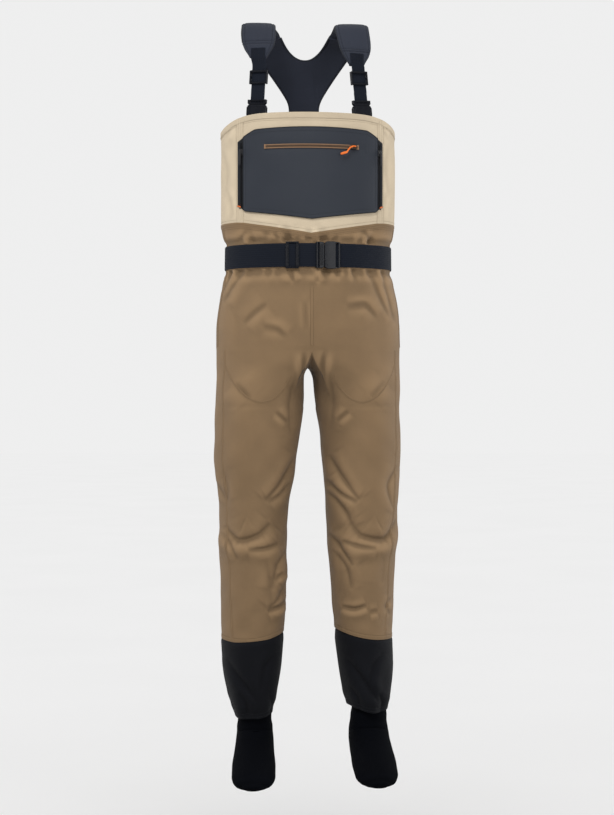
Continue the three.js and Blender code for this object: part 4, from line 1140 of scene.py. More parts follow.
def make_sock(side, k):
    top_x, ankle_x, toe_x = SOCK_X[side]
    parts = [(9, SOCK_TOP, 0, 50, 56), (7, -1340, 0, 38, 45), (7, -1390, 0, 34.5, 41)] + FOOT
    sections = np.array(parts, float)
    centre = sections[:, :2]
    at = np.concatenate([[0], np.cumsum(np.linalg.norm(np.diff(centre, axis=0), axis=1))])
    even = np.linspace(0, at[-1], SOCK_ROWS)
    y, z, tilt, w, h = (smooth_curve(at, sections[:, c], even) for c in range(5))
    forward = np.clip((FOOT[0][0] - y) / (FOOT[0][0] - FOOT[-1][0]), 0, 1)
    upper = smoothstep(-z, -SOCK_TOP, 1390)
    x = np.where(z > FOOT[0][1], top_x + (ankle_x - top_x) * upper, ankle_x + (toe_x - ankle_x) * forward)
    ankle, toe, lift = SOCK_FORM[side]
    w = w * (1 + (ankle - 1) * smoothstep(-z, 1380, 1420) * (1 - forward) + (toe - 1) * forward)
    z = z + lift * forward
    angle = np.arange(SOCK_COLUMNS) / SOCK_COLUMNS * 2 * np.pi
    # the toes close in a rounded end
    grow = 7
    extra = np.sin(np.linspace(0, np.pi / 2, grow + 1)[1:])
    shrink = np.sqrt(np.clip(1 - extra**2, 0.0004, 1))
    ahead = centre[-1] - centre[-2]
    ahead /= np.linalg.norm(ahead)
    y = np.concatenate([y, y[-1] + ahead[0] * extra * 7])
    z = np.concatenate([z, z[-1] + ahead[1] * extra * 7])
    x = np.concatenate([x, np.full(grow, x[-1])])
    tilt = np.radians(np.concatenate([tilt, np.full(grow, tilt[-1])]))
    w = np.concatenate([w, w[-1] * shrink])
    h = np.concatenate([h, h[-1] * shrink])
    power = 0.92
    ca, sa = np.cos(angle), np.sin(angle)
    ca = np.sign(ca) * np.abs(ca) ** power
    sa = np.sign(sa) * np.abs(sa) ** power
    across, along = w[:, None] * ca, h[:, None] * sa
    P = np.stack([x[:, None] + across, y[:, None] + along * np.cos(tilt)[:, None],
                  z[:, None] - along * np.sin(tilt)[:, None]], -1)
    N = grid_normals(P, True)
    if (N[30, :, 0] * (P[30, :, 0] - P[30, :, 0].mean())).mean() < 0:
        N = -N
    zz = P[..., 2]
    ripple = np.exp(-((zz + 1418) / 24) ** 2) * np.sin(zz / 5.2 + 0.7 * np.sin(2 * angle + k)) * 0.8
    ripple += np.exp(-((zz + 1380) / 30) ** 2) * np.sin(zz / 8 + angle) * 0.6
    ripple += 0.5 * np.sin(zz / 19 + 2 * angle) * np.sin(3 * angle + zz / 33)
    ease = np.ones(len(x))
    ease[-grow:] = 0
    P = P + N * (ripple * ease[:, None])[..., None]
    P[..., 0] *= k
    if k < 0:
        P = P[:, ::-1]
    N = grid_normals(P, True)
    flip = (N[30, :, 0] * (P[30, :, 0] - P[30, :, 0].mean())).mean() < 0
    if flip:
        N = -N
    b = Builder()
    b.grid(P[:-1], closed=True, kind=0, painted_bend_light=(painted_bend_light_of(P, True) * (-1 if flip else 1))[:-1], flip=flip)
    tip = b.count - SOCK_COLUMNS
    inner = P[:SOCK_ROWS - 6] - N[:SOCK_ROWS - 6] * NEOPRENE
    first = b.count
    b.grid(inner, closed=True, kind=0, flip=not flip)
    last_ring = P[-2].mean(0), inner[-1].mean(0)
    for ring_start, centre_point, turn in ((tip, last_ring[0], not flip), (b.count - SOCK_COLUMNS, last_ring[1], flip)):
        b.add([centre_point], np.zeros((0, 4), int))
        mid = b.count - 1
        a = ring_start + np.arange(0, SOCK_COLUMNS, 2)
        quad = np.stack([a, a + 1, ring_start + (np.arange(0, SOCK_COLUMNS, 2) + 2) % SOCK_COLUMNS,
                         np.full(len(a), mid)], -1)
        b.faces.append(quad if turn else quad[:, ::-1])
        b.kinds.append(np.zeros(len(quad), int))
    ring = np.arange(SOCK_COLUMNS)
    nxt = np.roll(ring, -1)
    band = np.stack([ring, nxt, nxt + first, ring + first], -1)
    b.faces.append(band[:, ::-1] if flip else band)
    b.kinds.append(np.zeros(len(band), int))
    # flat seams along both sides of the foot and up the back
    quarter = SOCK_COLUMNS // 4
    for column in (SOCK_COLUMNS // 16, SOCK_COLUMNS // 2 - SOCK_COLUMNS // 16, quarter):
        c = column if k > 0 else SOCK_COLUMNS - 1 - column
        rows = slice(10, SOCK_ROWS - 2) if column != quarter else slice(6, 62)
        line, n = P[rows, c] + N[rows, c] * 0.1, N[rows, c]
        b.ribbon(line, n, 4.2, 0.4, kind=1)
        for off in (-1.4, 1.4):
            side_way = np.cross(n, np.gradient(line, axis=0))
            side_way /= np.linalg.norm(side_way, axis=1)[:, None]
            b.stitches(line + side_way * off, n, pitch=3.0, length=2.0, radius=0.28, kind=2, lift=0.4)
    obj = b.build(f"sock_{side}_neoprene", [mat["neoprene"], mat["neoprene"], mat["dark_thread"]])
    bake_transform(obj)
    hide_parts(f"sock_leg_{side}", f"sock_foot_{side}")


# ---- chest pocket and zips -------------------------------------------------------------------------
POCKET = dict(half=141.0, proud=4.0, top=-216, shoulder=-219, corner=-232.5, low=-377, heel=-380.5, bottom=-398,
              shoulder_at=0.81, heel_at=0.965)
CENTER_ZIP = dict(z=-254, start=-93.5, end=94.5, height=8, slider=83.5)
SIDE_ZIP = dict(start=141.5, end=149.5, top=-244, bottom=-371, slider=-262)


def pocket_upper(s):
    p, t = POCKET, np.abs(s) / POCKET["half"]
    arch = p["top"] + (p["shoulder"] - p["top"]) * np.minimum(t / p["shoulder_at"], 1) ** 2
    f = np.clip((t - p["shoulder_at"]) / (1 - p["shoulder_at"]), 0, 2)
    return arch + (p["corner"] - p["shoulder"]) * f**1.15


def pocket_lower(s):
    p, t = POCKET, np.abs(s) / POCKET["half"]
    f = np.clip((t - p["heel_at"]) / (1 - p["heel_at"]), 0, 3)
    return p["bottom"] + (p["heel"] - p["bottom"]) * np.minimum(t / p["heel_at"], 1) + (p["low"] - p["heel"]) * f


def chest_point(s, z, off):
    """A point over the front of the bib, off mm out from its cloth."""
    s, z = np.broadcast_arrays(np.asarray(s, float), np.asarray(z, float))
    return body_point(z, s, body_relief(z, s / girth(z)) * 0.35 + off)


def chest_normal(s, z):
    n = chest_point(s, z, 1.0) - chest_point(s, z, 0.0)
    return n / np.linalg.norm(n, axis=-1)[..., None]


def pocket_bulge(s, z):
    t = np.clip(1 - (np.abs(s) / POCKET["half"]) ** 4, 0, 1)
    v = np.clip((z - POCKET["bottom"]) / (POCKET["top"] - POCKET["bottom"]), 0, 1)
    soft = 0.35 * np.sin(s / 29 + z / 37) * np.sin(z / 23 - s / 61) + 0.3 * np.sin(s / 13 + 2) * np.sin(z / 41)
    near_zip = np.exp(-((z - CENTER_ZIP["z"]) / 9) ** 2) * (np.abs(s - 8) < 104)
    return t * (1.4 * np.sin(np.pi * v) + soft * np.sin(np.pi * v) ** 0.5) * (1 - 0.8 * near_zip) - 0.5 * near_zip * t


def teeth(b, line, normal, pitch, width, size, kind):
    """The coil of a closed zip: short loops crossing the middle line from both sides."""
    line, normal = np.asarray(line, float), np.asarray(normal, float)
    at = np.concatenate([[0], np.cumsum(np.linalg.norm(np.diff(line, axis=0), axis=1))])
    count = int(at[-1] / pitch)
    where = (np.arange(count) + 0.5) * pitch
    p = np.stack([np.interp(where, at, line[:, k]) for k in range(3)], -1)
    n = np.stack([np.interp(where, at, normal[:, k]) for k in range(3)], -1)
    t = np.gradient(p, axis=0)
    t /= np.linalg.norm(t, axis=1)[:, None]
    side = np.cross(n, t)
    hand = np.where(np.arange(count) % 2, 1.0, -1.0)[:, None]
    for reach0, reach1 in ((-0.18, 0.5),):
        ends = []
        for r in (reach0, 0.16, reach1):
            c = p + side * hand * width * r
            up = size * (0.9 if r == 0.16 else 0.35)
            ends += [c - t * size * 0.5, c + n * up, c + t * size * 0.5, c - n * size * 0.3]
        P = np.stack(ends, 1)
        quads = []
        for k in (0, 4):
            for j in range(4):
                quads.append([k + j, k + (j + 1) % 4, k + 4 + (j + 1) % 4, k + 4 + j])
        quads += [[3, 2, 1, 0], [8, 9, 10, 11]]
        faces = (np.array(quads)[None] + (np.arange(count) * 12)[:, None, None]).reshape(-1, 4)
        b.add(P.reshape(-1, 3), faces, kind)


def make_pocket():
    columns, rows = 150, 96
    s = np.linspace(-1, 1, columns)[None] * POCKET["half"]
    v = np.linspace(0, 1, rows)[:, None]
    z = pocket_upper(s) * (1 - v) + pocket_lower(s) * v
    P = chest_point(s + 0 * z, z, POCKET["proud"] - 0.6 + pocket_bulge(s, z))
    b = Builder()
    b.grid(P, thick=2.6, painted_bend_light=0.3 * painted_bend_light_of(P))
    N = grid_normals(P, False)
    flipped = N[40, 70, 1] > 0
    if flipped:
        N = -N
    rim = np.concatenate([P[0], P[1:, -1], P[-1, -2::-1], P[-2::-1, 0]])
    nrim = np.concatenate([N[0], N[1:, -1], N[-1, -2::-1], N[-2::-1, 0]])
    b.tube(rim - nrim * 0.3, 0.85, kind=1, sides=6)
    for row, rows_slice in ((4, None), (rows - 5, None)):
        b.stitches(P[row, 6:-6], N[row, 6:-6], pitch=3.4, length=2.3, radius=0.24, kind=2, lift=0.05)
    for column in (3, columns - 4):
        b.stitches(P[5:-5, column], N[5:-5, column], pitch=3.4, length=2.3, radius=0.24, kind=2, lift=0.05)
    obj = b.build("chest_pocket_panel", [mat["pocket"], mat["pocket_edge"], mat["pad_thread"]])
    dress(obj, "shell", "pocket", ["chest_pocket"])


def make_center_zip():
    z, h = CENTER_ZIP["z"], CENTER_ZIP["height"]
    s = np.linspace(CENTER_ZIP["start"], CENTER_ZIP["end"], 120)
    off = POCKET["proud"] + 0.35
    b = Builder()
    line, normal = chest_point(s, z, off), chest_normal(s, np.full(s.shape, float(z)))
    b.ribbon(line, normal, h - 2.0, 0.5, kind=0)
    up = np.array([0, 0, 1.0])
    for edge in (-1, 1):
        b.ribbon(line + up * edge * (h / 2 - 0.9), normal, 1.9, 1.15, kind=1)
    teeth(b, line + normal * 0.45, normal, 1.5, 4.4, 1.0, 2)
    for end, way in ((0, 1), (-1, -1)):
        tip = line[end] + normal[end] * 0.2
        along = np.array([way, 0, 0.0])
        strip = np.array([tip - up * h * 0.55, tip - up * h * 0.2, tip + up * h * 0.2, tip + up * h * 0.55])
        b.ribbon(strip + along * 0.6, np.repeat(normal[end:end + 1] if end == 0 else normal[-1:], 4, 0), 3.4, 1.3, kind=1)
    obj = b.build("center_zip_coil", [mat["zip_tape"], mat["zip_edge"], mat["zip_teeth"]])
    dress(obj, "shell", "zip", ["center_zip_tape"])


def make_side_zip(side, k):
    s0 = k * (SIDE_ZIP["start"] + SIDE_ZIP["end"]) / 2
    z = np.linspace(SIDE_ZIP["top"] + 1.5, SIDE_ZIP["bottom"] - 4, 80)
    line = chest_point(s0 + 0 * z, z, 1.3)
    normal = chest_normal(s0 + 0 * z, z)
    b = Builder()
    across = np.linspace(0, 1, 9)[None]
    down = np.linspace(0, 1, 70)[:, None]
    s_base = 138.0 + 17.0 * across + 0 * down
    base_z = pocket_upper(s_base) * (1 - down) + (pocket_lower(s_base) - 1.0) * down
    base_s = k * s_base
    if k < 0:
        base_s, base_z = base_s[:, ::-1], base_z[:, ::-1]
    b.grid(chest_point(base_s, base_z, 1.5), thick=1.2, kind=0)
    teeth(b, line + normal * 0.75, normal, 1.5, 4.6, 1.1, 1)
    for edge in (-1, 1):
        off_line = chest_point(s0 + edge * 4.1 + 0 * z, z, 0.9)
        b.ribbon(off_line, normal, 1.7, 1.5, kind=2)
    # the bar tack that ends the opening
    s_tack = np.array([155.0, 153.0, 151.0, 149.0, 147.0])
    a = chest_point(k * s_tack, pocket_lower(s_tack) + 0.6, 2.2)
    n = chest_normal(k * s_tack, pocket_lower(s_tack))
    b.ribbon(a, n, 2.2, 0.9, kind=3)
    obj = b.build(f"side_zip_{side}_coil", [mat["pocket_edge"], mat["dark_zip"], mat["pocket_edge"], mat["tack"]])
    dress(obj, "shell", "webbing", [f"side_zip_tape_{side}"])


# ---- hard pieces from the frame's own shapes --------------------------------------------------------
def bevelled(node, width=0.5, segments=3, material="plastic", extra=None):
    """A copy of a frame node with softened edges."""
    source = frame["nodes"][node]
    mesh = source.data.copy()
    obj = bpy.data.objects.new(f"{node}_moulded", mesh)
    bpy.context.scene.collection.objects.link(obj)
    bm = bmesh.new()
    bm.from_mesh(mesh)
    bmesh.ops.remove_doubles(bm, verts=bm.verts, dist=2e-6)
    bmesh.ops.dissolve_limit(bm, angle_limit=math.radians(1.5), verts=bm.verts, edges=bm.edges)
    sharp = [e for e in bm.edges if len(e.link_faces) == 2 and e.calc_face_angle(0) > math.radians(25)]
    bmesh.ops.bevel(bm, geom=sharp, offset=width * MM, segments=segments, profile=0.6,
                    affect="EDGES", clamp_overlap=True)
    bmesh.ops.triangulate(bm, faces=[f for f in bm.faces if len(f.verts) > 4])
    bm.to_mesh(mesh)
    bm.free()
    mesh.materials.clear()
    mesh.materials.append(mat[material])
    smooth_by_angle(obj, 35)
    if extra:
        join_into(obj, extra)
    return obj


def join_into(obj, builder):
    """Adds a builder's pieces to an object."""
    other = builder.build(obj.name + "_more", [mat[k] for k in builder.materials])
    bpy.ops.object.select_all(action="DESELECT")
    other.select_set(True)
    obj.select_set(True)
    bpy.context.view_layer.objects.active = obj
    bpy.ops.object.join()


def body_of_node(node):
    for body, members in frame["record"]["behaviour"]["bodies"].items():
        if node in members:
            return body
    raise ValueError(node)


def keep_shape(node, slot, width=0.5, material="plastic", extra=None):
    obj = bevelled(node, width, 3, material, extra)
    dress(obj, body_of_node(node), slot, [node])
    return obj


def joint(name):
    return next(j for j in frame["joints"] if j["name"] == name)


def centre_of(node):
    low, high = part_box(node)
    return np.array((low + high) / 2) / MM


class Strap:
    """The straight run of a shoulder strap: distances are measured down from its top."""

    def __init__(self, side, k):
        self.side, self.k = side, k
        self.up = unit(joint(f"strap_adjust_{side}")["axis"])
        self.inward = unit(joint(f"strap_prong_a_squeeze_{side}")["axis"])
        self.across = unit(np.cross(self.inward, self.up))
        self.inward = unit(np.cross(self.up, self.across))
        self.origin = centre_of(f"strap_adjuster_{side}") + self.up * 18

    def at(self, along, x=0.0, y=0.0):
        along, x, y = np.broadcast_arrays(np.asarray(along, float), np.asarray(x, float), np.asarray(y, float))
        return (self.origin - along[..., None] * self.up + x[..., None] * self.across
                + y[..., None] * self.inward)


def unit(v):
    v = np.asarray(v, float)
    return v / np.linalg.norm(v)


STRAP_WIDTH, STRAP_SPREAD, WEBBING = 30.0, 3.0, 1.4


def web_strip(name, centre, across, outward, width, columns=15, thick=WEBBING, ribs=True):
    """Webbing along a line of centres, with rounded selvedges and raised ribs."""
    centre = np.asarray(centre, float)
    u = np.linspace(-0.5, 0.5, columns)
    edge = 1 - np.clip((np.abs(u) - 0.44) / 0.06, 0, 1) ** 2
    lift = thick * 0.5 * edge
    if ribs:
        lift = lift + 0.12 * np.cos(u * 2 * np.pi * 6) * edge
    across = np.broadcast_to(across, centre.shape)
    outward = np.broadcast_to(outward, centre.shape)
    width = np.broadcast_to(width, (len(centre),))[:, None] * u[None]
    P = centre[:, None] + across[:, None] * width[..., None] + outward[:, None] * lift[None, :, None]
    b = Builder()
    at = np.concatenate([[0], np.cumsum(np.linalg.norm(np.diff(centre, axis=0), axis=1))])
    uv = np.stack(np.broadcast_arrays(width, at[:, None]), -1)
    flip = np.dot(grid_normals(P, False)[len(centre) // 2, columns // 2], outward[len(centre) // 2]) < 0
    # painted highlight along the rounded selvedges
    b.grid(P, thick=np.broadcast_to(2 * lift, P.shape[:2]), uv=uv, flip=flip,
           painted_bend_light=np.broadcast_to(np.clip((np.abs(u) - 0.44) / 0.06, 0, 1) * 0.8, P.shape[:2]))
    b.materials = ["webbing", "dark_thread"]
    b.name = name
    return b, P


def finish_web(b, body, slot, nodes=()):
    obj = b.build(b.name, [mat[k] for k in b.materials])
    dress(obj, body, slot, nodes)
    return obj


PAD_WIDTH, PAD_THICK = 65.5, 9.0
CUT_PAD_WIDTH = 70.0
PAD_LINE = [(-68.6, -76, 0.46), (-66.5, -66, 0.62), (-62.5, -54, 0.84), (-56.5, -40, 0.97), (-50, -28, 1.0),
            (-36, -9, 1), (-18, 0, 1), (22, 0, 1), (35, -4.5, 1), (46, -12, 0.98), (56, -20, 0.94)]
PAD_DROP = {"left": 11.0, "right": 0.0}
PAD_INSET = {"left": (4.5, 3.0), "right": (0.0, 0.0)}  # towards the neck: all of it, and more at the top
PAD_FLARE = {  # the inner edge widens into the yoke: distance behind the shoulder line, widening
    "left": [(0, 0), (20, 0.4), (33, 2.5), (41, 8), (46, 9.7), (56, 12.5)],
    "right": [(0, 0), (15, 1.5), (25, 4.5), (33, 9), (46, 16), (56, 22)],
}
PAD_QUILT = {"left": (-54.0, -59.5), "right": (-40.0, -45.5)}
PAD_WEB_TOP = {"left": -64.0, "right": -55.0}
STRAP_TOP, STRAP_YAW = -94.0, 25.0


def pad_frame(strap, side, k, rows):
    """Centres, across and outward directions and widths along the underside of a pad."""
    line = np.array(PAD_LINE, float)
    at = np.concatenate([[0], np.cumsum(np.linalg.norm(np.diff(line[:, :2], axis=0), axis=1))])
    t = np.linspace(0, at[-1], rows)
    y, z, w = (smooth_curve(at, line[:, c], t) for c in range(3))
    z = z - PAD_DROP[side] * smoothstep(-z, 10, 60) * (y < 0)
    for _ in range(8):
        y[1:-1] = (y[:-2] + 2 * y[1:-1] + y[2:]) / 4
        z[1:-1] = (z[:-2] + 2 * z[1:-1] + z[2:]) / 4
    dy, dz = np.gradient(y), np.gradient(z)
    size = np.hypot(dy, dz)
    dy, dz = dy / size, dz / size
    low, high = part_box(f"shoulder_pad_{side}")
    pad_x = abs((high.x if k > 0 else low.x)) / MM - CUT_PAD_WIDTH / 2
    low_x = abs(strap.origin[0])
    turn = np.where(y < 0, np.clip(z / STRAP_TOP, 0, 1), 0)
    yaw = k * math.radians(STRAP_YAW) * turn
    inset = PAD_INSET[side][0] + PAD_INSET[side][1] * smoothstep(z, -60, -5)
    centre = np.stack([k * (pad_x - inset + (low_x - pad_x) * turn), y, z], -1)
    across = np.stack([np.cos(yaw), np.sin(yaw), 0 * yaw], -1)
    outward = np.stack([dz * np.sin(yaw), -dz * np.cos(yaw), dy], -1)
    return centre, across, outward, w * PAD_WIDTH, t


def pad_flare(side, y):
    rows = np.array(PAD_FLARE[side], float)
    return smooth_curve(rows[:, 0], rows[:, 1], y)


def make_pad(side, k, strap):
    rows, columns = 84, 64
    centre, across, outward, width, t = pad_frame(strap, side, k, rows)
    phi = np.arange(columns) / columns * 2 * np.pi
    c, s = np.cos(phi), np.sin(phi)
    u = np.sign(c) * np.abs(c) ** 0.35
    lift = np.sign(s) * np.abs(s) ** 0.55
    end = np.clip(np.minimum(t, t[-1] - t) / 5.0, 0, 1)
    end = np.sqrt(np.clip(1 - (1 - end) ** 2, 0.02, 1))
    thin = 1 - 0.42 * smoothstep(t, t[-1] - 34, t[-1] - 6) - 0.25 * (1 - smoothstep(t, 4, 30))
    thick = PAD_THICK * thin * end
    crown = 1.3 * np.clip(1 - u**2, 0, 1)
    groove = np.zeros((rows, columns))
    z = centre[:, 2]
    for level in PAD_QUILT[side]:
        near = np.where(centre[:, 1] < 0, (z - level) / 1.5, 9)
        groove += 1.7 * np.exp(-near**2)[:, None] * (lift > 0)[None] * (np.abs(u) < 0.97)[None]
    border = np.exp(-((np.abs(u) - 0.86) / 0.035) ** 2)[None] * (lift > 0)[None] * 1.1
    height = thick[:, None] * (0.5 + 0.5 * lift[None]) + (crown[None] * (lift > 0)[None] * thin[:, None] * end[:, None])
    height = height - (groove + border) * np.clip(thick[:, None] / PAD_THICK, 0, 1)
    flare = pad_flare(side, centre[:, 1])[:, None] * np.clip(-u * k, 0, 1)[None]
    P = (centre[:, None] + across[:, None] * (u[None] * width[:, None] / 2 - k * flare)[..., None]
         + outward[:, None] * height[..., None])
    b = Builder()
    arc = np.cumsum(np.linalg.norm(np.roll(P[30], -1, 0) - P[30], axis=1))
    uv = np.stack(np.broadcast_arrays(arc[None], t[:, None]), -1)
    N = grid_normals(P, True)
    flip = (N[40] * (P[40] - P[40].mean(0))).sum(-1).mean() < 0
    b.grid(P, closed=True, uv=uv, flip=flip, kind=0)
    for row in (0, rows - 1):
        mid = P[row].mean(0)
        start = row * columns
        b.add([mid], np.zeros((0, 4), int))
        a = np.arange(0, columns, 2)
        quad = np.stack([start + a, start + a + 1, start + (a + 2) % columns, np.full(len(a), b.count - 1)], -1)
        turn = (row == 0) == flip
        b.faces.append(quad if turn else quad[:, ::-1])
        b.kinds.append(np.zeros(len(quad), int))
    # a binding round both long edges and threads in the quilted channels
    for e in (-1, 1):
        widen = pad_flare(side, centre[:, 1]) * (e * k < 0)
        edge_line = centre + across * (e * (width / 2 + widen))[:, None] + outward * (thick * 0.5)[:, None]
        b.tube(edge_line[2:-2], np.clip(thick[2:-2] * 0.2, 0.8, 1.7), kind=1, sides=8)
        col = int(np.argmin(np.abs(u - 0.86 * e) + (lift < 0) * 9))
        b.stitches(P[4:-4, col], outward[4:-4], pitch=3.6, length=2.5, radius=0.3, kind=2, lift=0.25)
    for level in PAD_QUILT[side]:
        row = int(np.argmin(np.abs(z - level) + (centre[:, 1] > 0) * 99))
        cols = [i for i in range(columns) if lift[i] > 0 and abs(u[i]) < 0.84]
        b.stitches(P[row, cols], np.repeat(outward[row:row + 1], len(cols), 0), pitch=3.2, length=2.2,
                   radius=0.32, kind=2, lift=0.25)
    obj = b.build(f"shoulder_pad_{side}_foam", [mat["pad"], mat["pad_binding"], mat["pad_thread"]])
    dress(obj, "shell", "pad", [f"shoulder_pad_{side}"])
    # the webbing sewn down over the front end of the pad
    pick = (centre[:, 1] < 0) & (z < PAD_WEB_TOP[side]) & (z > z.min() + 4)
    c0 = centre[pick] + outward[pick] * (thick[pick] + 1.3 * thin[pick] * end[pick] + 0.3)[:, None]
    c0 = c0[::-1]
    a0, o0 = across[pick][::-1], outward[pick][::-1]
    join_top = strap.at(np.array([-6.0, 4.0]), 0, -0.3)
    lead = np.concatenate([c0, join_top])
    out_dir = np.concatenate([o0, [-strap.inward, -strap.inward]])
    acr = np.concatenate([a0, [strap.across, strap.across]])
    fine = resample(lead, 30)
    fo, fa = resample(out_dir, 30), resample(acr, 30)
    web, Q = web_strip(f"pad_webbing_box_{side}", fine, fa, fo, STRAP_WIDTH)
    for off in (-12, 12):
        web.stitches(fine[2:17] + fa[2:17] * off + fo[2:17] * 0.75, fo[2:17], pitch=3.0, length=2.1, radius=0.32, kind=1, lift=0.1)
    for row in (2, 16):
        bar = fine[row] + fo[row] * 0.75 + np.linspace(-12, 12, 12)[:, None] * fa[row]
        web.stitches(bar, np.repeat(fo[row:row + 1], 12, 0), pitch=3.0, length=2.1, radius=0.32, kind=1, lift=0.1)
    for cross in (-1, 1):
        bar = np.linspace(fine[3] + fa[3] * 11 * cross, fine[15] - fa[15] * 11 * cross, 14) + fo[9] * 0.8
        web.stitches(bar, np.repeat(fo[9:10], 14, 0), pitch=3.0, length=2.1, radius=0.32, kind=1, lift=0.1)
    finish_web(web, "shell", "webbing")


def resample(points, count):
    points = np.asarray(points, float)
    at = np.concatenate([[0], np.cumsum(np.linalg.norm(np.diff(points, axis=0), axis=1))])
    t = np.linspace(0, at[-1], count)
    return np.stack([smooth_curve(at, points[:, k], t) for k in range(3)], -1)


def make_strap(side, k, strap):
    out = -strap.inward
    along = np.linspace(3, 36, 24)
    wave = 0.35 * np.sin((along - 6) / 24 * 2 * np.pi)
    wide = STRAP_WIDTH + STRAP_SPREAD * (1 - smoothstep(along, 3.0, 6.0))
    b, P = web_strip(f"pad_webbing_{side}_weave", strap.at(along, 0, wave), strap.across, out, wide)
    finish_web(b, "shell", "webbing", [f"pad_webbing_{side}"])
    along = np.linspace(36.0, 70.5, 34)
    wave = (0.4 if side == "right" else 0.9) * np.sin((along - 36) / 30 * np.pi) ** 2 * np.sin((along - 36) / 30 * 2.6 * np.pi)
    wave = wave * (1 - smoothstep(along, 46, 54))
    b, P = web_strip(f"strap_webbing_{side}_weave", strap.at(along, 0, -wave), strap.across, out, STRAP_WIDTH)
    obj = finish_web(b, "shell", "webbing", [f"strap_webbing_{side}"])
    anchor = strap.at(36.0) * MM
    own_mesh(obj)
    # the tab runs inside the bib and is sewn to the back of its cloth
    low = strap.at(np.array([99.2, 108.0]))
    s_bib = k * 112.0
    sewn = np.stack([chest_point(s_bib, z, -2.6) for z in (-218.0, -228.0, -240.0)])
    line = resample(np.concatenate([low, sewn]), 34)
    n_bib = chest_normal(np.array(s_bib), np.array(-230.0))
    way = np.gradient(line, axis=0)
    across = np.repeat(strap.across[None], 34, 0)
    outward = np.cross(across, way)
    outward /= np.linalg.norm(outward, axis=1)[:, None]
    if outward[0] @ out < 0:
        outward = -outward
    b, P = web_strip(f"bib_tab_{side}_weave", line, across, outward, STRAP_WIDTH)
    finish_web(b, "shell", "webbing", [f"bib_tab_{side}"])

    # ribs across the bars of the adjuster and over the buckle's ends
    ribs = Builder()
    ribs.materials = ["plastic"]
    for level in (-11.5, 11.5):
        line = strap.at(18 - level, np.linspace(-17.5, 17.5, 8), -3.1)
        ribs.tube(line, 2.3, sides=14)
    keep_shape(f"strap_adjuster_{side}", "plastic", 0.55, extra=ribs)
    ribs = Builder()
    ribs.materials = ["plastic"]
    for shift in np.linspace(3.0, 9.0, 4):
        line = strap.at(74 - shift, np.linspace(-14, 14, 8), -3.5)
        ribs.tube(line, 0.4, sides=6)
    keep_shape(f"strap_buckle_male_{side}", "plastic", 0.8, extra=ribs)
    frame_lip = Builder()
    frame_lip.materials = ["plastic"]
    outline = [(-15, 4), (15, 4), (17.5, 9), (15.5, 17), (-15.5, 17), (-17.5, 9), (-15, 4)]
    line = np.array([strap.at(74 + a, x, -4.5) for x, a in outline])
    frame_lip.tube(resample(line, 60), 0.45, sides=6)
    keep_shape(f"strap_buckle_socket_{side}", "plastic", 0.9, extra=frame_lip)
    for hand in "ab":
        keep_shape(f"strap_buckle_prong_{hand}_{side}", "plastic", 0.5)


# ---- yoke ---------------------------------------------------------------------------------------------
YOKE = dict(thickness=5.0, middle=-2, top=-9.5, neck=-48, neck_width={1: 47, -1: 52}, stem=30, stem_top=-135, foot=-212)
YOKE_LINE = [(-9, 37), (-26, 60), (-44, 74), (-70, 88), (-100, 100), (-140, 109), (-178, 112.8), (-212, 112.8)]


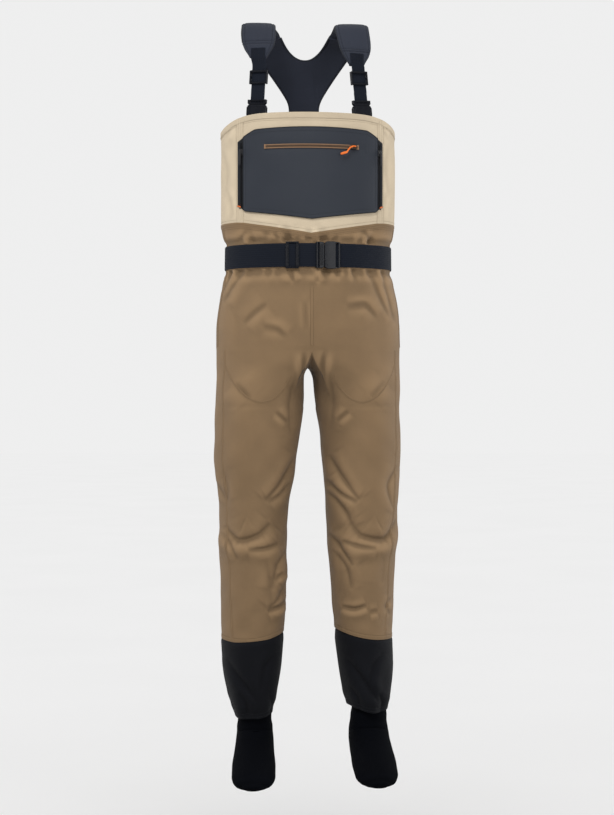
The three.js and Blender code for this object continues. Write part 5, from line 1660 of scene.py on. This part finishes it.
def make_yoke():
    y = YOKE
    rows = np.array(sorted(YOKE_LINE), float)
    depth = lambda z: smooth_curve(rows[:, 0], rows[:, 1], z)
    reach = {}
    for side, k in SIDES:
        low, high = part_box(f"shoulder_pad_{side}")
        reach[k] = abs((high.x if k > 0 else low.x)) / MM - k * y["middle"] - (13.5 if k > 0 else 7.0)

    def neck(side, t):
        z = y["neck"] + (y["top"] - y["neck"]) * t**1.9
        return y["middle"] + side * y["neck_width"][side] * t**0.893, z

    def rim(side, t):
        if t < 0.26:
            return y["middle"] + side * y["stem"] * (t / 0.26), y["foot"]
        if t < 0.5:
            return y["middle"] + side * y["stem"], y["foot"] + (y["stem_top"] - y["foot"]) * (t - 0.26) / 0.24
        f = (t - 0.5) / 0.5
        return (y["middle"] + side * (y["stem"] + (reach[side] - y["stem"]) * f**1.15),
                y["stem_top"] + (y["top"] - y["stem_top"]) * f**1.0)

    columns, rows_n = 161, 44
    P = np.zeros((rows_n, columns, 3))
    v = np.linspace(0, 1, rows_n)
    for i in range(columns):
        u = i / (columns - 1)
        side = -1 if u < 0.5 else 1
        t = abs(2 * u - 1)
        x0, z0 = neck(side, max(t, 0.0))
        x1, z1 = rim(side, t)
        P[:, i, 0] = x0 + (x1 - x0) * v
        P[:, i, 2] = z0 + (z1 - z0) * v
    for _ in range(14):  # ease the corners of the outline
        for row in (0, -1):
            P[row, 2:-2] = (P[row, 1:-3] + 2 * P[row, 2:-2] + P[row, 3:-1]) / 4
        Q = P.copy()
        P[1:-1, 1:-1] = Q[1:-1, 1:-1] * 0.6 + 0.1 * (Q[:-2, 1:-1] + Q[2:, 1:-1] + Q[1:-1, :-2] + Q[1:-1, 2:])
    P[..., 1] = depth(P[..., 2])
    N = grid_normals(P, False)
    if N[20, 80, 1] < 0:
        N = -N
    P = P + N * 0.5
    edge_v = np.minimum(v, 1 - v)[:, None]
    span = np.linalg.norm(P[-1] - P[0], axis=-1)[None]
    inset = edge_v * span
    ends = np.minimum(np.arange(columns), columns - 1 - np.arange(columns))[None] * 1.6
    near = np.minimum(inset, ends + 1.2)
    round_off = np.sqrt(np.clip(1 - (1 - np.clip(near / 4.0, 0, 1)) ** 2, 0.03, 1))
    seam = 0.8 * np.exp(-((near - 6.5) / 0.9) ** 2)
    thick = y["thickness"] * (0.35 + 0.65 * round_off) - seam
    outer = P + N * thick[..., None]
    b = Builder()
    flip = (grid_normals(outer, False)[20, 80] @ N[20, 80]) < 0
    b.grid(outer, thick=thick, flip=flip, kind=0)
    for row in (4, rows_n - 5):
        line = outer[row, 6:-6]
        b.stitches(line, N[row, 6:-6], pitch=3.6, length=2.5, radius=0.3, kind=1, lift=0.1)
    foot = [i for i in range(columns) if abs(outer[-1, i, 0] - y["middle"]) < 27 and outer[-1, i, 2] < y["foot"] + 8]
    mids = np.linspace(-25, 25, 20)
    for level in (y["foot"] + 6, y["foot"] + 14, BIB_TOP - 8):
        bar = np.stack([y["middle"] + mids, depth(np.full(20, level)) + y["thickness"] + 0.6, np.full(20, float(level))], -1)
        b.stitches(bar, np.repeat(np.array([[0, 1.0, 0]]), 20, 0), pitch=3.2, length=2.2, radius=0.32, kind=1, lift=0.05)
    obj = b.build("back_yoke_foam", [mat["yoke"], mat["pad_thread"]])
    dress(obj, "shell", "pad", ["back_yoke"])
    bind = Builder()
    rim_line = np.concatenate([P[-1] + N[-1] * 1.6])
    bind.tube(rim_line, 1.7, sides=8)
    bind.tube(P[0] + N[0] * 1.6, 1.7, sides=8)
    obj = bind.build("back_yoke_binding", [mat["pad_binding"]])
    dress(obj, "shell", "pad")


# ---- wading belt -----------------------------------------------------------------------------------------
BELT = dict(off=5.8, slider=-37.5, front=-23, mouth=24.5, buckle=31.5)
BELT_SOCKET_LENGTH, BELT_BASE = 31, 17


def belt_frame(s, off=0.0, z=BELT_Z):
    p = body_oval_point(z, s, off)
    n = body_oval_point(z, s, off + 1) - p
    return p, n


def body_oval_point(z, s, off):
    return body_point(np.full(np.shape(s), float(BELT_Z)), s, off) + np.array([0, 0, 1.0]) * (np.asarray(z, float) - BELT_Z)[..., None]


def belt_strip(name, s0, s1, nodes, rows=17):
    count = max(8, int((s1 - s0) / 3))
    s = np.linspace(s0, s1, count)
    u = np.linspace(-1, 1, rows)
    z = BELT_Z + u * BELT_HALF
    S, Z = np.meshgrid(s, z)
    edge = np.clip((np.abs(u) - 0.93) / 0.07, 0, 1)[:, None]
    wave = 0.35 * np.sin(S / 37) * u[:, None] + 0.25 * np.sin(S / 15 + 2)
    ribs = 0.14 * np.cos(u * np.pi * 9)[:, None]
    short = s1 - s0 < 100  # this piece slides through the buckle's bar, so it is flat
    wave, ribs = (0, -0.14) if short else (wave * (np.abs(s - BELT["slider"])[None] > 25), ribs)
    off = BELT["off"] + WEBBING + wave + ribs - 0.45 * edge + 0 * S
    P = body_oval_point(Z, S, off)
    P = P[::-1]
    b = Builder()
    uv = np.stack([Z[::-1], S], -1)
    N = grid_normals(P, False)
    flip = N[rows // 2, 2] @ (belt_frame(np.array(s[2]))[1]) < 0
    # painted highlight along the belt's rounded edges
    b.grid(P, thick=WEBBING - 0.28 * short, uv=uv, flip=flip, painted_bend_light=np.broadcast_to(edge[::-1] * 0.7, P.shape[:2]))
    obj = b.build(name, [mat["webbing"]])
    dress(obj, "shell", "webbing", nodes)
    return obj, P


def make_belt():
    whole = float(girth(np.array(float(BELT_Z))))
    fixed_end = BELT["mouth"] + BELT_SOCKET_LENGTH - 6
    obj, P = belt_strip("belt_webbing_weave", fixed_end - 5, whole + BELT["front"], ["belt_webbing"])
    obj, P = belt_strip("belt_front_weave", BELT["front"] + 0.35, BELT["mouth"] - BELT_BASE + 9, ["belt_webbing_front"])
    tuple(body_oval_point(BELT_Z, np.array(BELT["front"] + 0.35), BELT["off"]) * MM)
    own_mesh(obj)
    up = np.array([0, 0, 1.0])
    # ribs on the slider's bars and on the male half
    s_mid = np.array(float(BELT["slider"]))
    p, n = belt_frame(s_mid, BELT["off"] + WEBBING / 2)
    n = unit(n)
    along = unit(np.cross(up, -n))
    ribs = Builder()
    ribs.materials = ["plastic"]
    for level in (-10, 10):
        for shift in (-1.8, -0.6, 0.6, 1.8):
            line = p + along * (level + shift) + n * 3.5 + up * np.linspace(-22, 22, 12)[:, None]
            ribs.tube(line, 0.4, sides=6)
    keep_shape("belt_slider", "plastic", 0.6, extra=ribs)
    s_b = np.array(float(BELT["buckle"]))
    p, n = belt_frame(s_b, BELT["off"] + WEBBING / 2)
    n = unit(n)
    along = unit(np.cross(up, -n))
    mouth = p + along * (BELT["buckle"] - BELT["mouth"])
    side_sign = 1 if (along @ np.array([1.0, 0, 0])) > 0 else -1
    ribs = Builder()
    ribs.materials = ["plastic"]
    male_c = centre_of("belt_buckle_male")
    sock_c = centre_of("belt_buckle_socket")
    toward = unit((male_c - sock_c) * np.array([1, 1, 0]))
    for shift in np.linspace(4.5, 12.0, 5):
        line = mouth + toward * shift + n * 4.0 + up * np.linspace(-21, 21, 12)[:, None]
        ribs.tube(line, 0.45, sides=6)
    keep_shape("belt_buckle_male", "plastic", 0.9, extra=ribs)
    lip = Builder()
    lip.materials = ["plastic"]
    outline = [(4, -19), (4, 19), (9, 22), (17, 20), (17, -20), (9, -22), (4, -19)]
    line = np.array([mouth - toward * a + up * x + n * 5.0 for a, x in outline])
    lip.tube(resample(line, 70), 0.55, sides=6)
    keep_shape("belt_buckle_socket", "plastic", 1.0, extra=lip)
    for hand in "ab":
        keep_shape(f"belt_buckle_prong_{hand}", "plastic", 0.5)
    # loops that hold the belt at the back
    for side, k in SIDES:
        s = k * whole * 0.36
        z = np.array([20, 16, 10, 4, 2, -2, -12, -24, -36, -48, -51, -53, -58, -64, -68], float)
        o = np.array([0, 0, 0, 3.0, 6.2, 8.2, 9.0, 9.1, 9.0, 8.2, 6.2, 3.0, 0, 0, 0], float)
        z = BELT_Z + 24 + z
        base = body_surface(z, np.full(z.shape, k * 0.36))
        over = body_oval_point(z, np.full(z.shape, s), o + 0.6)
        flat = (o < 1)[:, None]
        line = np.where(flat, base + (over - body_oval_point(z, np.full(z.shape, s), 0.0)) * 0.5, over)
        line = resample(line, 60)
        _, n = belt_frame(np.array(float(s)))
        n = unit(n)
        across = unit(np.cross(up, n))
        way = np.gradient(line, axis=0)
        outward = np.cross(way, across)
        outward /= np.linalg.norm(outward, axis=1)[:, None]
        if outward[30] @ n < 0:
            outward = -outward
        b, Q = web_strip(f"belt_loop_{side}_weave", line, across, outward, 14, columns=9)
        for rows in ((2, 6), (53, 57)):
            for row in rows:
                bar = line[row] + outward[row] * 0.8 + np.linspace(-6, 6, 8)[:, None] * across
                b.stitches(bar, np.repeat(outward[row:row + 1], 8, 0), pitch=2.4, length=2.0, radius=0.35, kind=1)
        finish_web(b, "shell", "webbing", [f"belt_loop_{side}"])


def make_zip_hardware():
    zc = CENTER_ZIP
    foot = body_point(np.array(float(zc["z"])), np.array(float(zc["slider"])), 5.9)
    out = unit(body_point(np.array(float(zc["z"])), np.array(float(zc["slider"])), 6.9) - foot)
    up = np.array([0, 0, 1.0])
    across = unit(np.cross(up, out))
    if across[0] < 0:
        across = -across
    place = lambda x, y, z: foot + across * x + out * y + up * z
    keep_shape("center_zip_slider", "zip_slider", 0.7, material="slider")
    line = resample([place(2.6, 7.0, 0.4), place(-2, 7.0, 0.6), place(-9, 7.0, -1.6), place(-14, 7.0, -7.0),
                     place(-18, 7.0, -12.0), place(-24, 7.0, -14.0), place(-31, 7.0, -16.6)], 46)
    radius = np.full(46, 1.55)
    radius[26:] = 1.55 + 0.95 * np.sin(np.clip((np.arange(26, 46) - 26) / 19, 0, 1) * np.pi) ** 0.5
    radius[0] = radius[-1] = 0.7
    b = Builder()
    b.tube(line, radius, sides=12)
    for i in range(3, 26, 2):  # the lay of the cord
        ring = line[i] + 0
        b.tube([ring - across * 0.25, ring + across * 0.25], 1.72, sides=10)
    obj = b.build("center_zip_cord_pull", [mat["cord"]], sharp=60)
    dress(obj, "center_zip_pull", "cord_pull", ["center_zip_pull"])
    for side, k in SIDES:
        keep_shape(f"side_zip_{side}_slider", "plastic", 0.6, material="dark_zip")
        keep_shape(f"side_zip_{side}_pull", "plastic", 0.5, material="dark_zip")


make_bib()
make_trousers()
make_pocket()
make_center_zip()
make_yoke()
make_belt()
make_zip_hardware()
for side, k in SIDES:
    make_leg(side, k)
    make_guard(side, k)
    make_sock(side, k)
    make_side_zip(side, k)
    strap = Strap(side, k)
    make_pad(side, k, strap)
    make_strap(side, k, strap)


# ---- stage ---------------------------------------------------------------------------------------------------
def make_stage():
    m, tree, shader = nodes_of("pale_floor")
    coord = tree.nodes.new("ShaderNodeTexCoord").outputs["Object"]
    tone = ramp(tree, noise(tree, coord, 1.5, 2), [(0.3, (0.985, 0.985, 0.985)), (0.7, (1.0, 1.0, 1.0))])
    link(tree, tone, shader.inputs["Base Color"])
    shader.inputs["Roughness"].default_value = 1.0
    shader.inputs["Specular IOR Level"].default_value = 0.0
    bpy.ops.mesh.primitive_circle_add(vertices=96, radius=30, fill_type="NGON", location=(0, 0, -1.66))
    floor = bpy.context.object
    floor.name = "floor"
    floor.data.materials.append(m)
    world = bpy.data.worlds.new("studio")
    bpy.context.scene.world = world
    world.use_nodes = True
    world.node_tree.nodes["Background"].inputs["Color"].default_value = (1.0, 1.0, 1.0, 1)
    world.node_tree.nodes["Background"].inputs["Strength"].default_value = 0.86
    bpy.context.scene.view_settings.view_transform = "Standard"
    lit = bpy.data.collections.new("lit_by_softboxes")
    bpy.context.scene.collection.children.link(lit)
    for obj in bpy.context.scene.collection.objects:
        if obj.type == "MESH" and obj is not floor:
            lit.objects.link(obj)
    for name, place, size, power in (
        ("key", (-0.9, -2.5, 1.6), (1.0, 1.0), 82),
        ("fill", (1.2, -3.4, -0.1), (1.4, 2.0), 52),
        ("rim_left", (-1.9, 0.55, -0.5), (0.7, 2.2), 20),
        ("rim_right", (1.9, 0.55, -0.5), (0.7, 2.2), 28),
        ("back", (0.0, 3.0, 0.6), (2.0, 2.0), 22),
    ):
        data = bpy.data.lights.new(name, "AREA")
        data.shape = "RECTANGLE"
        data.size, data.size_y = size
        data.energy = power
        light = bpy.data.objects.new(name, data)
        bpy.context.scene.collection.objects.link(light)
        light.location = place
        light.rotation_euler = (Vector((0, 0, -0.75)) - Vector(place)).to_track_quat("-Z", "Y").to_euler()
        light.light_linking.receiver_collection = lit


make_stage()
